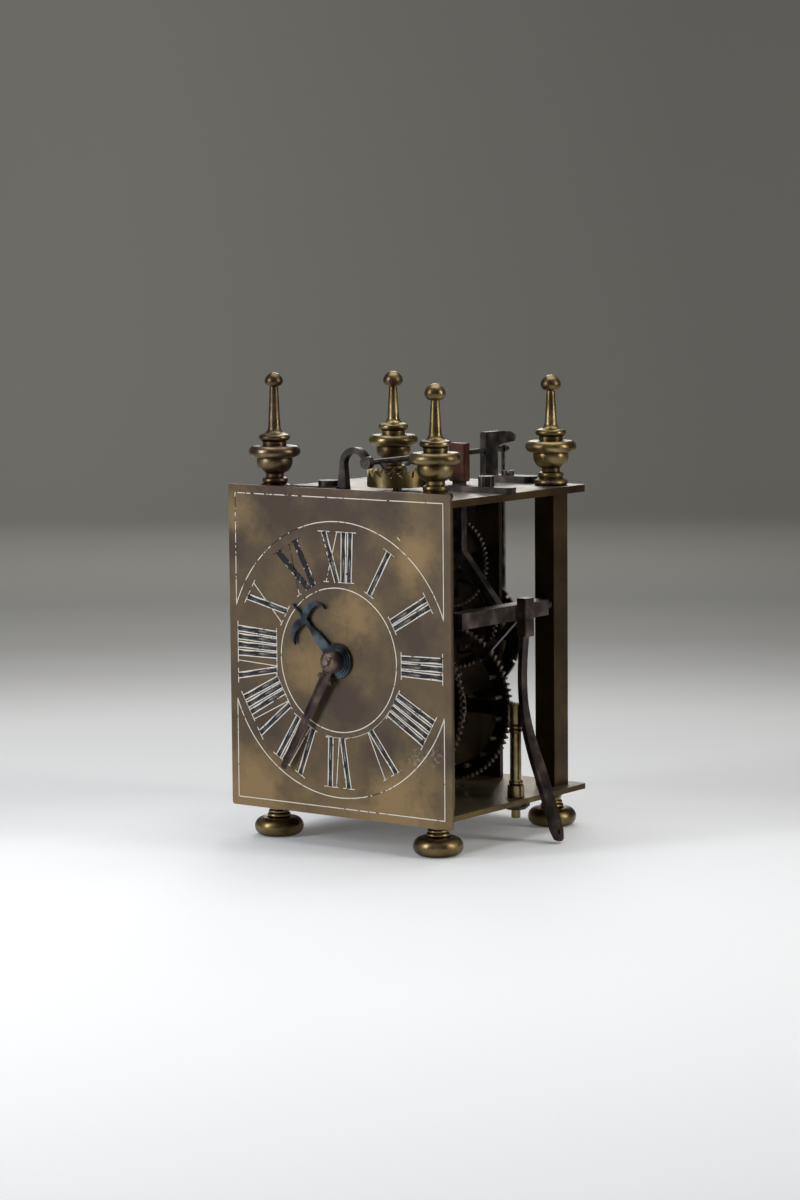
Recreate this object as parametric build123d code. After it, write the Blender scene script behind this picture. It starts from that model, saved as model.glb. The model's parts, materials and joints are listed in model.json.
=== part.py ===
from build123d import *
import math
import os

# Small lantern clock: a brass cage of two plates and four pillars, with the going train in
# front, the strike train behind it and the verge escapement on top.
#
# Frame: millimetres, +Z up, the dial faces -Y, +X is to the right of someone facing the dial.
# The origin is on the floor, under the middle of the cage.

os.makedirs("parts", exist_ok=True)

# ---------------------------------------------------------------- driving dimensions
# cage
foot_height = 20.0
bottom_plate_thickness = 3.0
pillar_length = 164.5
top_plate_thickness = 4.0
plate_side = 137.0
pillar_pitch = 109.0
pillar_side = 13.5
stud_radius = 2.5
stud_depth = 8.0

# dial and hands
dial_width = 150.0
dial_thickness = 1.5
dial_drop = 2.5
dial_rise = 4.0
dial_centre_share = 85.5 / 178.0
hour_hand_length = 41.0
minute_hand_length = 70.5
hand_hub_radius = 9.6
hour_hand_angle = 135.0
minute_hand_angle = -120.0

hand_gap = 0.8
hour_hand_thickness = 2.6
minute_hand_thickness = 2.2
hand_nut_height = 3.9
minute_arbor_radius = 1.6
hand_pin_radius = 0.6
hand_pin_length = 8.0

# fits
pivot_clearance = 0.05
running_gap = 0.3
wheel_gap = 0.5

# movement bars, as distances of their front faces behind the middle of the cage
bar_width = 36.0
bar_thickness = 3.0
front_bar_y = -61.0
middle_bar_y = 3.0
rear_bar_y = 56.0
tenon_width = 10.0

# arbors
arbor_radius = 2.4
pivot_radius = 1.3
shoulder = 0.4

# teeth: module shares shared by every wheel and pinion
addendum = 0.8
dedendum = 1.15
wheel_tooth_share = 0.42
wheel_lean = 20.0
pinion_tooth_share = 0.34
pinion_lean = 10.0
pinion_overhang = 1.2

# going train: heights and distances are shares of the pillar length
going_centre_share = 51.5 / 164.5
going_great_teeth = 80
second_pinion_leaves = 8
going_great_share = 50.0 / 164.5
second_teeth = 48
contrate_pinion_leaves = 8
second_share = 24.0 / 164.5
contrate_teeth = 40
contrate_radius = 18.0
contrate_rim = 2.0
contrate_depth = 7.5
crown_pinion_leaves = 8
verge_offset = 8.0
crown_y = -26.0
great_wheel_thickness = 2.5
great_rim = 7.0
great_hub = 12.0
great_arm_width = 8.0
wheel_thickness = 2.0
wheel_rim = 3.2
wheel_hub = 6.0
wheel_arm_width = 3.6
wheel_arms = 4
going_great_y = -19.5
second_wheel_y = -45.0

# strike train: heights and distances are shares of the pillar length
strike_centre_share = 45.0 / 164.5
strike_great_teeth = 80
hoop_pinion_leaves = 8
strike_great_share = 47.8 / 164.5
hoop_teeth = 56
warning_pinion_leaves = 8
hoop_share = 32.2 / 164.5
warning_teeth = 56
fly_pinion_leaves = 8
warning_share = 29.1 / 164.5
hammer_pins = 20
hammer_pin_circle_share = 38.0 / 47.8
hammer_pin_radius = 1.2
hammer_pin_length = 6.2
hammer_rivet_radius = 0.8
strike_great_y = 28.75
hoop_wheel_y = 37.0
warning_wheel_y = 32.0
hoop_ring_share = 21.5 / 32.2
hoop_ring_wall = 1.5
hoop_ring_depth = 4.0
hoop_ring_gap = 7.0
hoop_rim = 3.6
hoop_hub = 6.5
hoop_arm_width = 4.0
warning_pin_circle = 18.0
warning_pin_radius = 0.9
warning_pin_length = 3.0
fly_tip_clearance = 0.4
fly_length = 15.0
fly_y = 10.0

# count wheel
report_pinion_leaves = 10
count_gear_teeth = 39
count_offset = -5.0
count_height_share = 81.5 / 164.5
count_disc_share = 33.5 / 164.5
count_window_margin = 8.5
count_hub = 9.0
count_arm_width = 6.0
count_disc_thickness = 1.5
count_gear_thickness = 1.6
count_gap = 1.2
count_notch_depth = 2.4
count_stud_radius = 2.2

# motion work behind the dial
minute_gear_teeth = 24
motion_pinion_leaves = 8
motion_wheel_teeth = 24
hour_pinion_leaves = 8
hour_wheel_teeth = 32
motion_angle = 45.0
motion_layer = 1.6
layer_gap = 0.5
motion_stud_radius = 1.6
motion_stud_collar = 2.5
lifting_pin_circle = 10.0
lifting_pin_radius = 1.0

# rope pulleys
pulley_radius = 15.0
pulley_width = 10.0
pulley_flange = 3.0
ratchet_teeth = 16
ratchet_radius = 12.0
ratchet_thickness = 2.0
click_gap = 3.0

# escapement
verge_height = 17.4
verge_radius = 1.5
crown_radius = 16.5
crown_teeth = 17
crown_wall = 1.9
crown_lift = 3.0
crown_skirt = 5.5
crown_tooth_height = 3.5
pallet_width = 4.0
pallet_thickness = 0.9
pallet_spread = 100.0
pallet_clearance = 0.25
verge_swing_degrees = 8.0
pendulum_y = 75.0
pendulum_length = 116.0
pendulum_rod_radius = 1.1
bob_radius = 9.0

# hammer and its strap
hammer_axis_x = 57.5
hammer_axis_share = 102.5 / 164.5
hammer_bar_width = 9.0
hammer_bar_offset = 7.5
hammer_bar_height = 8.6
hammer_bar_front = -46.0
hammer_bar_rear = 38.0
hammer_stem_x = 28.8
hammer_stem_y = 3.0
hammer_stem_bend_drop = 30.5
hammer_head_width = 10.8
hammer_head_thickness = 5.6
hammer_head_rise = 25.5
hammer_stem_width = 6.0
hammer_stem_thickness = 5.0
hammer_head_height = 21.0
hammer_lift_degrees = 6.0
hammer_tail_y = 23.0
hammer_tail_thickness = 2.6
hammer_tail_angle = 46.5
strap_y = 9.4
strap_thickness = 2.6
strap_neck_width = 5.5
strap_blade_width = 9.5
strap_hole_radius = 1.3
strap_tip_height = 1.0
knuckle_width = 6.5
knuckle_depth = 8.0
knuckle_height = 21.0
knuckle_rise = 8.0

# finials, of which the front left one is slimmer
finial_stem = 20.8
finial_ball = 5.6
slim_finial_stem = 25.5
slim_finial_ball = 4.9

# banking post
post_x = 61.0
post_height = 52.5
post_shaft_radius = 3.1
post_drum_radius = 3.9
post_base_radius = 4.9

# locking lever
locking_axis_share = 112.0 / 164.5
locking_rod_radius = 1.5
locking_finger_radius = 1.25
locking_tip_angle = 159.4
locking_count_angle = 138.4
lifting_tip_angle = 101.0
locking_tail_width = 2.4

# small fittings
pillar_chamfer = 0.5
pillar_pivot_depth = 4.0
dial_corner = 1.0
hour_pipe_radius = 3.2
screw_radius = 1.6
rope_hole_radius = 3.0
hammer_slot_width = 8.0
hammer_slot_clearance = 1.5
cock_thickness = 4.0
cock_foot_width = 9.0
cock_foot_thickness = 3.8
hook_y = -53.0
hook_leg_x = -7.8
hook_foot_end = -41.0
hook_screw = (-18.5, hook_y)
hook_screw_head = 5.6
back_cock_y = 55.0
back_cock_depth = 12.0
back_arm_height = 7.7
back_arm_end = 85.0
back_foot_end = 40.0
back_screw = (20.8, back_cock_y + back_cock_depth / 2)
back_screw_head = 3.6
stop_bar_y = -7.0
stop_bar_start = 30.8
stop_bar_end = 72.0
stop_bar_width = 8.0
stop_bar_thickness = 3.4
stop_screw = (53.7, stop_bar_y)
stop_screw_head = 4.4
crown_cock_width = 10.0
crown_cock_thickness = 3.5
crown_cock_rise = 14.0

# ---------------------------------------------------------------- heights and places worked out
bottom_plate_base = foot_height
bottom_plate_top = bottom_plate_base + bottom_plate_thickness
top_plate_base = bottom_plate_top + pillar_length
top_plate_top = top_plate_base + top_plate_thickness
pillar_offset = pillar_pitch / 2
plate_half = plate_side / 2
dial_back_y = -plate_half
dial_front_y = dial_back_y - dial_thickness
dial_base = bottom_plate_base - dial_drop
dial_height = top_plate_top + dial_rise - dial_base
dial_centre_z = dial_base + dial_centre_share * dial_height
verge_z = top_plate_top + verge_height
going_centre_height = bottom_plate_top + going_centre_share * pillar_length
going_great_distance = going_great_share * pillar_length
second_distance = second_share * pillar_length
strike_centre_height = bottom_plate_top + strike_centre_share * pillar_length
strike_great_distance = strike_great_share * pillar_length
hoop_distance = hoop_share * pillar_length
warning_distance = warning_share * pillar_length
hammer_pin_circle = hammer_pin_circle_share * strike_great_distance
hoop_ring_radius = hoop_ring_share * hoop_distance
count_height = bottom_plate_top + count_height_share * pillar_length
count_disc_radius = count_disc_share * pillar_length
hammer_axis_height = bottom_plate_top + hammer_axis_share * pillar_length
hammer_stem_bend_height = top_plate_base - hammer_stem_bend_drop
hammer_head_top = top_plate_top + hammer_head_rise
knuckle_top_height = hammer_axis_height + knuckle_rise
locking_axis_height = bottom_plate_top + locking_axis_share * pillar_length
corners = {
    "front_left": (-pillar_offset, -pillar_offset),
    "front_right": (pillar_offset, -pillar_offset),
    "rear_left": (-pillar_offset, pillar_offset),
    "rear_right": (pillar_offset, pillar_offset),
}

nodes = {}


# ---------------------------------------------------------------- helpers
def along_y(shape, x, y, z):
    """Put a shape drawn about +Z on an axis that runs back along +Y, its base at y."""
    return Pos(x, y, z) * Rot(X=-90) * shape


def rod(radius, length):
    """A round bar that stands on its base."""
    return Pos(0, 0, length / 2) * Cylinder(radius, length)


def ring(outer, inner, length):
    """A round tube that stands on its base."""
    return rod(outer, length) - rod(inner, length)


def block(x_range, y_range, z_range):
    """A box between two limits on each axis."""
    size = [limits[1] - limits[0] for limits in (x_range, y_range, z_range)]
    middle = [(limits[1] + limits[0]) / 2 for limits in (x_range, y_range, z_range)]
    return Pos(*middle) * Box(*size)


def polar(radius, degrees):
    """A point at a radius and an angle."""
    return (radius * math.cos(math.radians(degrees)), radius * math.sin(math.radians(degrees)))


def prism(points, height):
    """An upright prism on a polygon in the XY plane."""
    return extrude(make_face(Polyline(*points, close=True)), height)


def turned(profile):
    """A body of revolution about Z.

    profile is a list of (radius, height) corners from the axis back to the axis. A corner with a
    third value is reached by an arc that bulges that far from the straight line.
    """
    edges = []
    for start, end in zip(profile, profile[1:]):
        a, b = Vector(start[0], 0, start[1]), Vector(end[0], 0, end[1])
        if len(end) == 3:
            along = (b - a).normalized()
            side = Vector(along.Z, 0, -along.X)
            arc = ThreePointArc(a, (a + b) * 0.5 + side * end[2], b)
            # an arc that meets the axis turns into a smooth dome only as a spline
            meets_axis = start[0] == 0 or end[0] == 0
            edges.append(Spline(*[arc @ (step / 4) for step in range(5)]) if meets_axis else arc)
        else:
            edges.append(Line(a, b))
    first, last = profile[0], profile[-1]
    edges.append(Line((last[0], 0, last[1]), (first[0], 0, first[1])))
    return revolve(make_face(edges), Axis.Z)


def gear_outline(teeth, module, share, lean, turn):
    """Corners of a toothed disc with straight-sided teeth.

    share is the tooth's part of the pitch on the pitch circle, lean the slope of its sides.
    """
    pitch_radius = module * teeth / 2
    half_tooth = share * math.pi * module / 2
    corners_of_tooth = []
    for radius, side in (
        (pitch_radius - dedendum * module, 1),
        (pitch_radius + addendum * module, 1),
        (pitch_radius + addendum * module, -1),
        (pitch_radius - dedendum * module, -1),
    ):
        half_width = half_tooth - (radius - pitch_radius) * math.tan(math.radians(lean))
        corners_of_tooth.append((radius, side * math.degrees(math.asin(half_width / radius))))
    points = []
    for tooth in range(teeth):
        middle = turn - 360 / teeth * tooth
        points += [polar(radius, middle + offset) for radius, offset in corners_of_tooth]
    return points


def wheel_blank(teeth, module, thickness, direction):
    """A toothed wheel with one tooth that points to a direction in the upright plane."""
    return prism(gear_outline(teeth, module, wheel_tooth_share, wheel_lean, -direction), thickness)


def pinion_blank(leaves, module, thickness, direction):
    """A pinion with a gap that points to a direction in the upright plane."""
    turn = -direction + 180 / leaves
    return prism(gear_outline(leaves, module, pinion_tooth_share, pinion_lean, turn), thickness)


def crossed_out(blank, hub, rim, thickness, arms, arm_width):
    """Cut windows between a hub and a rim, which leaves arms."""
    windows = ring(rim, hub, thickness)
    for arm in range(arms):
        spoke = block((0, rim), (-arm_width / 2, arm_width / 2), (0, thickness))
        windows -= Rot(Z=360 / arms * arm) * spoke
    return blank - windows


def mesh_module(distance, teeth_a, teeth_b):
    """The module of two wheels whose axes lie this far apart."""
    return 2 * distance / (teeth_a + teeth_b)


def direction_between(start, end):
    """The angle from one axis to another, seen from the front: 0 right, 90 up."""
    return math.degrees(math.atan2(end[1] - start[1], end[0] - start[0]))


def arbor(body_front, body_rear, bars, front_tip=None, rear_tip=None):
    """A steel arbor on the Z axis, placed by depths: body, shoulders and a pivot in each bar."""
    front, rear = bars
    pivot_start = front if front_tip is None else front_tip
    pivot_end = rear if rear_tip is None else rear_tip
    body = Pos(0, 0, body_front) * rod(arbor_radius, body_rear - body_front)
    return body + Pos(0, 0, pivot_start) * rod(pivot_radius, pivot_end - pivot_start)


def hole_along_y(x, z, radius):
    """A cutter for a hole that runs from front to back through anything."""
    return along_y(rod(radius, 4 * plate_side), x, -2 * plate_side, z)


def at_axis(shape, axis):
    """Put a shape whose own Z is its depth in the clock on an axis (x, height)."""
    return along_y(shape, axis[0], 0, axis[1])


# ---------------------------------------------------------------- axes of the trains
going_axis = (0, going_centre_height)
second_axis = (0, going_centre_height + going_great_distance)
contrate_rise = math.sqrt(second_distance**2 - verge_offset**2)
contrate_axis = (verge_offset, second_axis[1] + contrate_rise)
strike_axis = (0, strike_centre_height)
hoop_axis = (0, strike_centre_height + strike_great_distance)
warning_axis = (0, hoop_axis[1] + hoop_distance)
fly_axis = (0, warning_axis[1] + warning_distance)
fly_width = 2 * (top_plate_base - fly_axis[1] - fly_tip_clearance)
count_axis = (count_offset, count_height)
dial_axis = (0, dial_centre_z)
drive_distance = dial_axis[1] - going_axis[1]
minute_module = mesh_module(drive_distance, minute_gear_teeth, minute_gear_teeth)
# the motion wheel's stud stands just clear of the minute gear's teeth
minute_gear_radius = drive_distance / 2 + addendum * minute_module
motion_distance = minute_gear_radius + motion_stud_collar + running_gap
motion_offset = polar(motion_distance, motion_angle)
motion_axis = (motion_offset[0], dial_centre_z + motion_offset[1])

front_bar_rear = front_bar_y + bar_thickness
middle_bar_rear = middle_bar_y + bar_thickness
rear_bar_rear = rear_bar_y + bar_thickness
going_great_rear = going_great_y + great_wheel_thickness
going_pulley_y = going_great_rear + click_gap
strike_pulley_y = strike_great_y - click_gap - pulley_width
count_gear_y = rear_bar_rear + count_gap
hammer_slot_travel = (top_plate_top - hammer_axis_height) * math.sin(math.radians(hammer_lift_degrees))
knuckle_x = hammer_axis_x + hammer_bar_offset
going_bars = (front_bar_y, middle_bar_rear)
strike_bars = (middle_bar_y, rear_bar_rear)



def beyond(axis, radius, degrees):
    """The point at a radius and an angle from an axis, in x and height."""
    x, z = polar(radius, degrees)
    return (axis[0] + x, axis[1] + z)


# the tips of the levers, each just outside the wheel that it works with
finger_gap = locking_finger_radius + running_gap
pin_reach = hammer_pin_circle + hammer_pin_radius + running_gap
hammer_tail_tip = beyond(strike_axis, pin_reach, hammer_tail_angle)
locking_hoop_tip = beyond(hoop_axis, hoop_ring_radius + finger_gap, locking_tip_angle)
locking_count_tip = beyond(count_axis, count_disc_radius + finger_gap, locking_count_angle)
lifting_reach = lifting_pin_circle + lifting_pin_radius + running_gap + locking_tail_width / 2
lifting_tip = beyond(going_axis, lifting_reach, lifting_tip_angle)


# ---------------------------------------------------------------- cage
def plate(base, thickness):
    """A square plate with a hole for the stud of every finial or foot."""
    body = Pos(0, 0, base + thickness / 2) * Box(plate_side, plate_side, thickness)
    body = chamfer(body.edges().filter_by(Axis.Z), 1.2)
    for x, y in corners.values():
        body -= Pos(x, y, base) * rod(stud_radius, thickness)
    for bar_y in (front_bar_y, middle_bar_y, rear_bar_y):
        tenon = (-tenon_width / 2, tenon_width / 2)
        body -= block(tenon, (bar_y, bar_y + bar_thickness), (base, base + thickness))
    return body


def bottom_plate():
    """The bottom plate, pierced for the banking post and for the two rope runs of each train."""
    body = plate(bottom_plate_base, bottom_plate_thickness)
    body -= Pos(post_x, strap_y, bottom_plate_base) * rod(stud_radius, bottom_plate_thickness)
    for y in (going_pulley_y, strike_pulley_y):
        for x in (-pulley_radius, pulley_radius):
            hole = rod(rope_hole_radius, bottom_plate_thickness)
            body -= Pos(x, y + pulley_width / 2, bottom_plate_base) * hole
    return body


def top_plate():
    """The top plate, pierced for the crown wheel's arbor, the hammer and the screws."""
    body = plate(top_plate_base, top_plate_thickness)
    arbor_hole = rod(arbor_radius + pivot_clearance, top_plate_thickness)
    body -= Pos(verge_offset, crown_y, top_plate_base) * arbor_hole
    slot_start = hammer_stem_x - hammer_stem_width / 2 - hammer_slot_travel - hammer_slot_clearance
    body -= block(
        (slot_start, hammer_stem_x + hammer_stem_width / 2 + hammer_slot_clearance),
        (hammer_stem_y - hammer_slot_width / 2, hammer_stem_y + hammer_slot_width / 2),
        (top_plate_base, top_plate_top),
    )
    for x, y in (hook_screw, back_screw, stop_screw):
        body -= Pos(x, y, top_plate_base) * rod(screw_radius, top_plate_thickness)
    return body


def pillars():
    """Four square pillars with a stud hole in each end."""
    group = []
    for x, y in corners.values():
        middle = bottom_plate_top + pillar_length / 2
        body = Pos(x, y, middle) * Box(pillar_side, pillar_side, pillar_length)
        body = chamfer(body.edges().filter_by(Axis.Z), pillar_chamfer)
        body -= Pos(x, y, bottom_plate_top) * rod(stud_radius, stud_depth)
        body -= Pos(x, y, top_plate_base - stud_depth) * rod(stud_radius, stud_depth)
        group.append(body)
    # the right pair carries the hammer arbor and the left pair the locking lever
    cutters = {
        "right": hole_along_y(hammer_axis_x, hammer_axis_height, pivot_radius + pivot_clearance),
        "left": hole_along_y(-pillar_offset, locking_axis_height, pivot_radius + pivot_clearance),
    }
    inner = pillar_offset - pillar_side / 2
    reach = inner + pillar_pivot_depth
    limits = block((-plate_side, plate_side), (-reach, reach), (0, top_plate_top))
    return [body - (cutters["right"] & limits) - (cutters["left"] & limits) for body in group]


def finial(x, y, stem, ball):
    """A turned finial: stepped base, bowl, wide flange, small disc and a stem with a ball."""
    disc_top = 31.4
    ball_flat = 0.8 * ball
    neck = 2.3
    ball_base = disc_top + stem
    profile = [
        (0, -top_plate_thickness - stud_depth),
        (stud_radius, -top_plate_thickness - stud_depth),
        (stud_radius, 0),
        (8.4, 0),
        (8.4, 3.2, 1.0),
        (6.6, 4.2),
        (6.6, 7.0, 0.5),
        (5.0, 7.6),
        (5.0, 9.4),
        (6.4, 9.9),
        (9.6, 18.2, 1.5),
        (12.6, 18.6),
        (12.0, 24.6, 1.9),
        (6.6, 25.2),
        (6.6, 27.0),
        (7.0, 27.4),
        (7.0, 31.0, 1.6),
        (6.0, disc_top),
        (3.4, disc_top + 3.6, -0.7),
        (neck, ball_base),
        (ball, ball_base + ball_flat, 0.22 * ball),
        (0, ball_base + 2 * ball_flat, 0.21 * ball),
    ]
    return Pos(x, y, top_plate_top) * turned(profile)


def foot(x, y):
    """A turned bun foot with two beads and a flaring neck under the plate."""
    profile = [
        (0, 0),
        (7.9, 0),
        (6.9, 9.9, 6.2),
        (5.9, 10.1),
        (5.9, 12.3, 0.6),
        (5.3, 12.4),
        (5.3, 14.2, 0.5),
        (4.8, 14.5),
        (9.4, 18.6, -1.2),
        (9.4, foot_height),
        (stud_radius, foot_height),
        (stud_radius, bottom_plate_top + stud_depth),
        (0, bottom_plate_top + stud_depth),
    ]
    return Pos(x, y, 0) * turned(profile)


def movement_bar(y, holes):
    """An upright bar with a tenon in each plate and a hole for every pivot that it carries."""
    half = bar_width / 2
    body = block((-half, half), (y, y + bar_thickness), (bottom_plate_top, top_plate_base))
    tenons = (bottom_plate_base, top_plate_top)
    body += block((-tenon_width / 2, tenon_width / 2), (y, y + bar_thickness), tenons)
    for (x, z), radius in holes:
        body -= hole_along_y(x, z, radius)
    return body


def dial_plate():
    """The flat brass dial with the hole for the hands."""
    body = block(
        (-dial_width / 2, dial_width / 2), (dial_front_y, dial_back_y), (dial_base, dial_base + dial_height)
    )
    body = chamfer(body.edges().filter_by(Axis.Y), dial_corner)
    return body - hole_along_y(*dial_axis, hour_pipe_radius + wheel_gap)


# ---------------------------------------------------------------- wheels on their arbors
def wheel_on_arbor(teeth, module, direction, y, thickness, rim_width, hub, arm_width):
    """A crossed-out wheel, ready for at_axis."""
    blank = wheel_blank(teeth, module, thickness, direction)
    rim = module * teeth / 2 - dedendum * module - rim_width
    body = crossed_out(blank, hub, rim, thickness, wheel_arms, arm_width) - rod(arbor_radius, thickness)
    return Pos(0, 0, y) * body


def pinion_at(leaves, module, direction, wheel_y, wheel_depth):
    """Pinion leaves that stand out past both faces of the wheel they mesh with."""
    length = wheel_depth + 2 * pinion_overhang
    return Pos(0, 0, wheel_y - pinion_overhang) * pinion_blank(leaves, module, length, direction)


def train_arbor(bars, front_tip=None, rear_tip=None):
    """An arbor whose body fills the space between its two bars."""
    inside_front = bars[0] + bar_thickness + shoulder
    inside_rear = bars[1] - bar_thickness - shoulder
    return arbor(inside_front, inside_rear, bars, front_tip, rear_tip)


great_module = mesh_module(going_great_distance, going_great_teeth, second_pinion_leaves)
second_module = mesh_module(second_distance, second_teeth, contrate_pinion_leaves)
contrate_module = 2 * contrate_radius / contrate_teeth
strike_module = mesh_module(strike_great_distance, strike_great_teeth, hoop_pinion_leaves)
hoop_module = mesh_module(hoop_distance, hoop_teeth, warning_pinion_leaves)
warning_module = mesh_module(warning_distance, warning_teeth, fly_pinion_leaves)
count_distance = math.hypot(count_axis[0] - strike_axis[0], count_axis[1] - strike_axis[1])
count_module = mesh_module(count_distance, count_gear_teeth, report_pinion_leaves)
motion_module = mesh_module(motion_distance, motion_wheel_teeth, motion_pinion_leaves)
hour_module = mesh_module(motion_distance, hour_wheel_teeth, hour_pinion_leaves)

# the three layers of the motion work, from the front bar towards the dial
first_layer = front_bar_y - layer_gap - motion_layer
second_layer = first_layer - layer_gap - motion_layer
third_layer = second_layer - layer_gap - motion_layer
# the hands, from the dial forwards
hour_hand_rear = dial_front_y - hand_gap
hour_hand_front = hour_hand_rear - hour_hand_thickness
minute_hand_rear = hour_hand_front - running_gap
minute_hand_front = minute_hand_rear - minute_hand_thickness
hand_nut_front = minute_hand_front - hand_nut_height
hand_pin_y = hand_nut_front - hand_pin_radius
minute_tip_y = hand_pin_y - 2 * hand_pin_radius


def great_wheel(teeth, module, direction, y):
    """A great wheel: heavy rim, four arms."""
    return wheel_on_arbor(teeth, module, direction, y, great_wheel_thickness, great_rim, great_hub, great_arm_width)


def rope_pulley():
    """Rope pulley with spikes and a ratchet; its ratchet end is at 0 and it runs up from there."""
    tooth_step = 360 / ratchet_teeth
    points = []
    for tooth in range(ratchet_teeth):
        points.append(polar(ratchet_radius, tooth * tooth_step))
        points.append(polar(ratchet_radius - 2.2, (tooth + 0.12) * tooth_step))
    body = prism(points, ratchet_thickness)
    flange = 1.4
    body += Pos(0, 0, ratchet_thickness) * rod(pulley_radius + pulley_flange, flange)
    body += Pos(0, 0, ratchet_thickness) * rod(pulley_radius, pulley_width - ratchet_thickness)
    body += Pos(0, 0, pulley_width - flange) * rod(pulley_radius + pulley_flange, flange)
    middle = (pulley_width + ratchet_thickness) / 2
    for spike in range(12):
        body += Rot(Z=30 * spike) * Pos(pulley_radius + 1.1, 0, middle) * Box(3.0, 1.3, 1.3)
    return body - rod(arbor_radius, pulley_width)


def ratchet_click(stand):
    """The click: a hooked pawl on a stud that stands on the great wheel's face."""
    stud_at = polar(20.0, 60.0)
    shape = [
        polar(ratchet_radius + 0.35, 15.0),
        polar(ratchet_radius + 2.2, 12.0),
        (stud_at[0] + 2.6, stud_at[1]),
        (stud_at[0] + 1.0, stud_at[1] + 2.3),
        (stud_at[0] - 1.8, stud_at[1] + 1.1),
        (stud_at[0] - 1.8, stud_at[1] - 1.3),
        polar(ratchet_radius + 1.0, 28.0),
    ]
    pawl = Pos(0, 0, stand) * prism(shape, ratchet_thickness - running_gap)
    return pawl + Pos(stud_at[0], stud_at[1], 0) * rod(1.4, stand + ratchet_thickness)


def going_train():
    """Great wheel, second wheel, contrate wheel and crown wheel, from the rope to the verge."""
    up = direction_between(going_axis, second_axis)
    nodes["going_great_wheel"] = at_axis(
        great_wheel(going_great_teeth, great_module, up, going_great_y), going_axis
    )
    drive_tip = first_layer - layer_gap
    nodes["going_great_arbor"] = at_axis(train_arbor(going_bars, front_tip=drive_tip), going_axis)
    nodes["going_pulley"] = at_axis(Pos(0, 0, going_pulley_y) * rope_pulley(), going_axis)
    click = Pos(0, 0, going_great_rear) * ratchet_click(going_pulley_y - going_great_rear)
    nodes["going_click"] = at_axis(click, going_axis)

    down = direction_between(second_axis, going_axis)
    leaves = pinion_at(second_pinion_leaves, great_module, down, going_great_y, great_wheel_thickness)
    nodes["second_arbor"] = at_axis(train_arbor(going_bars) + leaves, second_axis)
    to_contrate = direction_between(second_axis, contrate_axis)
    second = wheel_on_arbor(
        second_teeth, second_module, to_contrate, second_wheel_y, wheel_thickness, wheel_rim, wheel_hub, wheel_arm_width
    )
    nodes["second_wheel"] = at_axis(second, second_axis)

    to_second = direction_between(contrate_axis, second_axis)
    leaves = pinion_at(contrate_pinion_leaves, second_module, to_second, second_wheel_y, wheel_thickness)
    nodes["contrate_arbor"] = at_axis(train_arbor(going_bars) + leaves, contrate_axis)
    nodes["contrate_wheel"] = at_axis(contrate_wheel(), contrate_axis)


# the contrate wheel's tooth heights along Y, and the crown wheel's cock under its pinion
contrate_pitch_y = crown_y - contrate_module * crown_pinion_leaves / 2
contrate_root_y = contrate_pitch_y - dedendum * contrate_module
contrate_tip_y = contrate_pitch_y + addendum * contrate_module
crown_pinion_z = contrate_axis[1] + contrate_radius
crown_pinion_length = contrate_rim + 2 * pinion_overhang + 2.4
crown_cock_top = crown_pinion_z - crown_pinion_length / 2 - 3.5
crown_cock_base = crown_cock_top - crown_cock_thickness


def contrate_wheel():
    """A wheel with its teeth on the rim's rear edge, one of them at the top."""
    inner = contrate_radius - contrate_rim / 2
    outer = contrate_radius + contrate_rim / 2
    web = 1.5
    start = contrate_root_y - contrate_depth
    body = Pos(0, 0, start) * ring(outer, inner, contrate_depth)
    disc = crossed_out(rod(inner, web), 6.0, inner - 1.5, web, 4, 3.6) - rod(arbor_radius, web)
    body += Pos(0, 0, start) * disc
    half_tooth = wheel_tooth_share * math.pi * contrate_module / 2
    slope = math.tan(math.radians(wheel_lean))
    root_half = half_tooth + dedendum * contrate_module * slope
    tip_half = half_tooth - addendum * contrate_module * slope
    outline = Polyline(
        (-root_half, inner, contrate_root_y),
        (root_half, inner, contrate_root_y),
        (tip_half, inner, contrate_tip_y),
        (-tip_half, inner, contrate_tip_y),
        close=True,
    )
    tooth = extrude(make_face(outline), contrate_rim, dir=(0, 1, 0))
    top = 180
    teeth = [Rot(Z=top + 360 / contrate_teeth * step) * tooth for step in range(contrate_teeth)]
    return body + teeth


def crown_wheel_and_arbor():
    """The upright crown arbor with its pinion, and the saw-toothed crown wheel on top of it."""
    hub_top = top_plate_top + crown_lift + crown_skirt
    turn = -90 + 180 / crown_pinion_leaves
    outline = gear_outline(crown_pinion_leaves, contrate_module, pinion_tooth_share, pinion_lean, turn)
    leaves = Pos(0, 0, crown_pinion_z - crown_pinion_length / 2) * prism(outline, crown_pinion_length)
    stem = Pos(0, 0, crown_cock_top + shoulder) * rod(arbor_radius, hub_top - crown_cock_top - shoulder)
    pivot = Pos(0, 0, crown_cock_base) * rod(pivot_radius, crown_cock_thickness + shoulder)
    nodes["crown_arbor"] = Pos(verge_offset, crown_y, 0) * (leaves + stem + pivot)

    base = top_plate_top + crown_lift
    inner = crown_radius - crown_wall
    web = 1.8
    body = ring(crown_radius, inner, crown_skirt + crown_tooth_height)
    body += crossed_out(rod(inner, web), 6.0, inner - 2.0, web, 4, 4.0)
    body += rod(5.0, 4.0)
    body -= rod(arbor_radius, crown_skirt)
    pitch = 2 * math.pi * crown_radius / crown_teeth
    root, tip = crown_skirt, crown_skirt + crown_tooth_height
    land = 0.12 * pitch
    notch = Polyline(
        (land, inner - 1, tip + 1),
        (land, inner - 1, tip),
        (0.26 * pitch, inner - 1, root),
        (0.42 * pitch, inner - 1, root),
        (pitch, inner - 1, tip),
        (pitch, inner - 1, tip + 1),
        close=True,
    )
    cutter = extrude(make_face(notch), crown_wall + 3, dir=(0, 1, 0))
    body -= [Rot(Z=360 / crown_teeth * step) * cutter for step in range(crown_teeth)]
    nodes["crown_wheel"] = Pos(verge_offset, crown_y, base) * body


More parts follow.
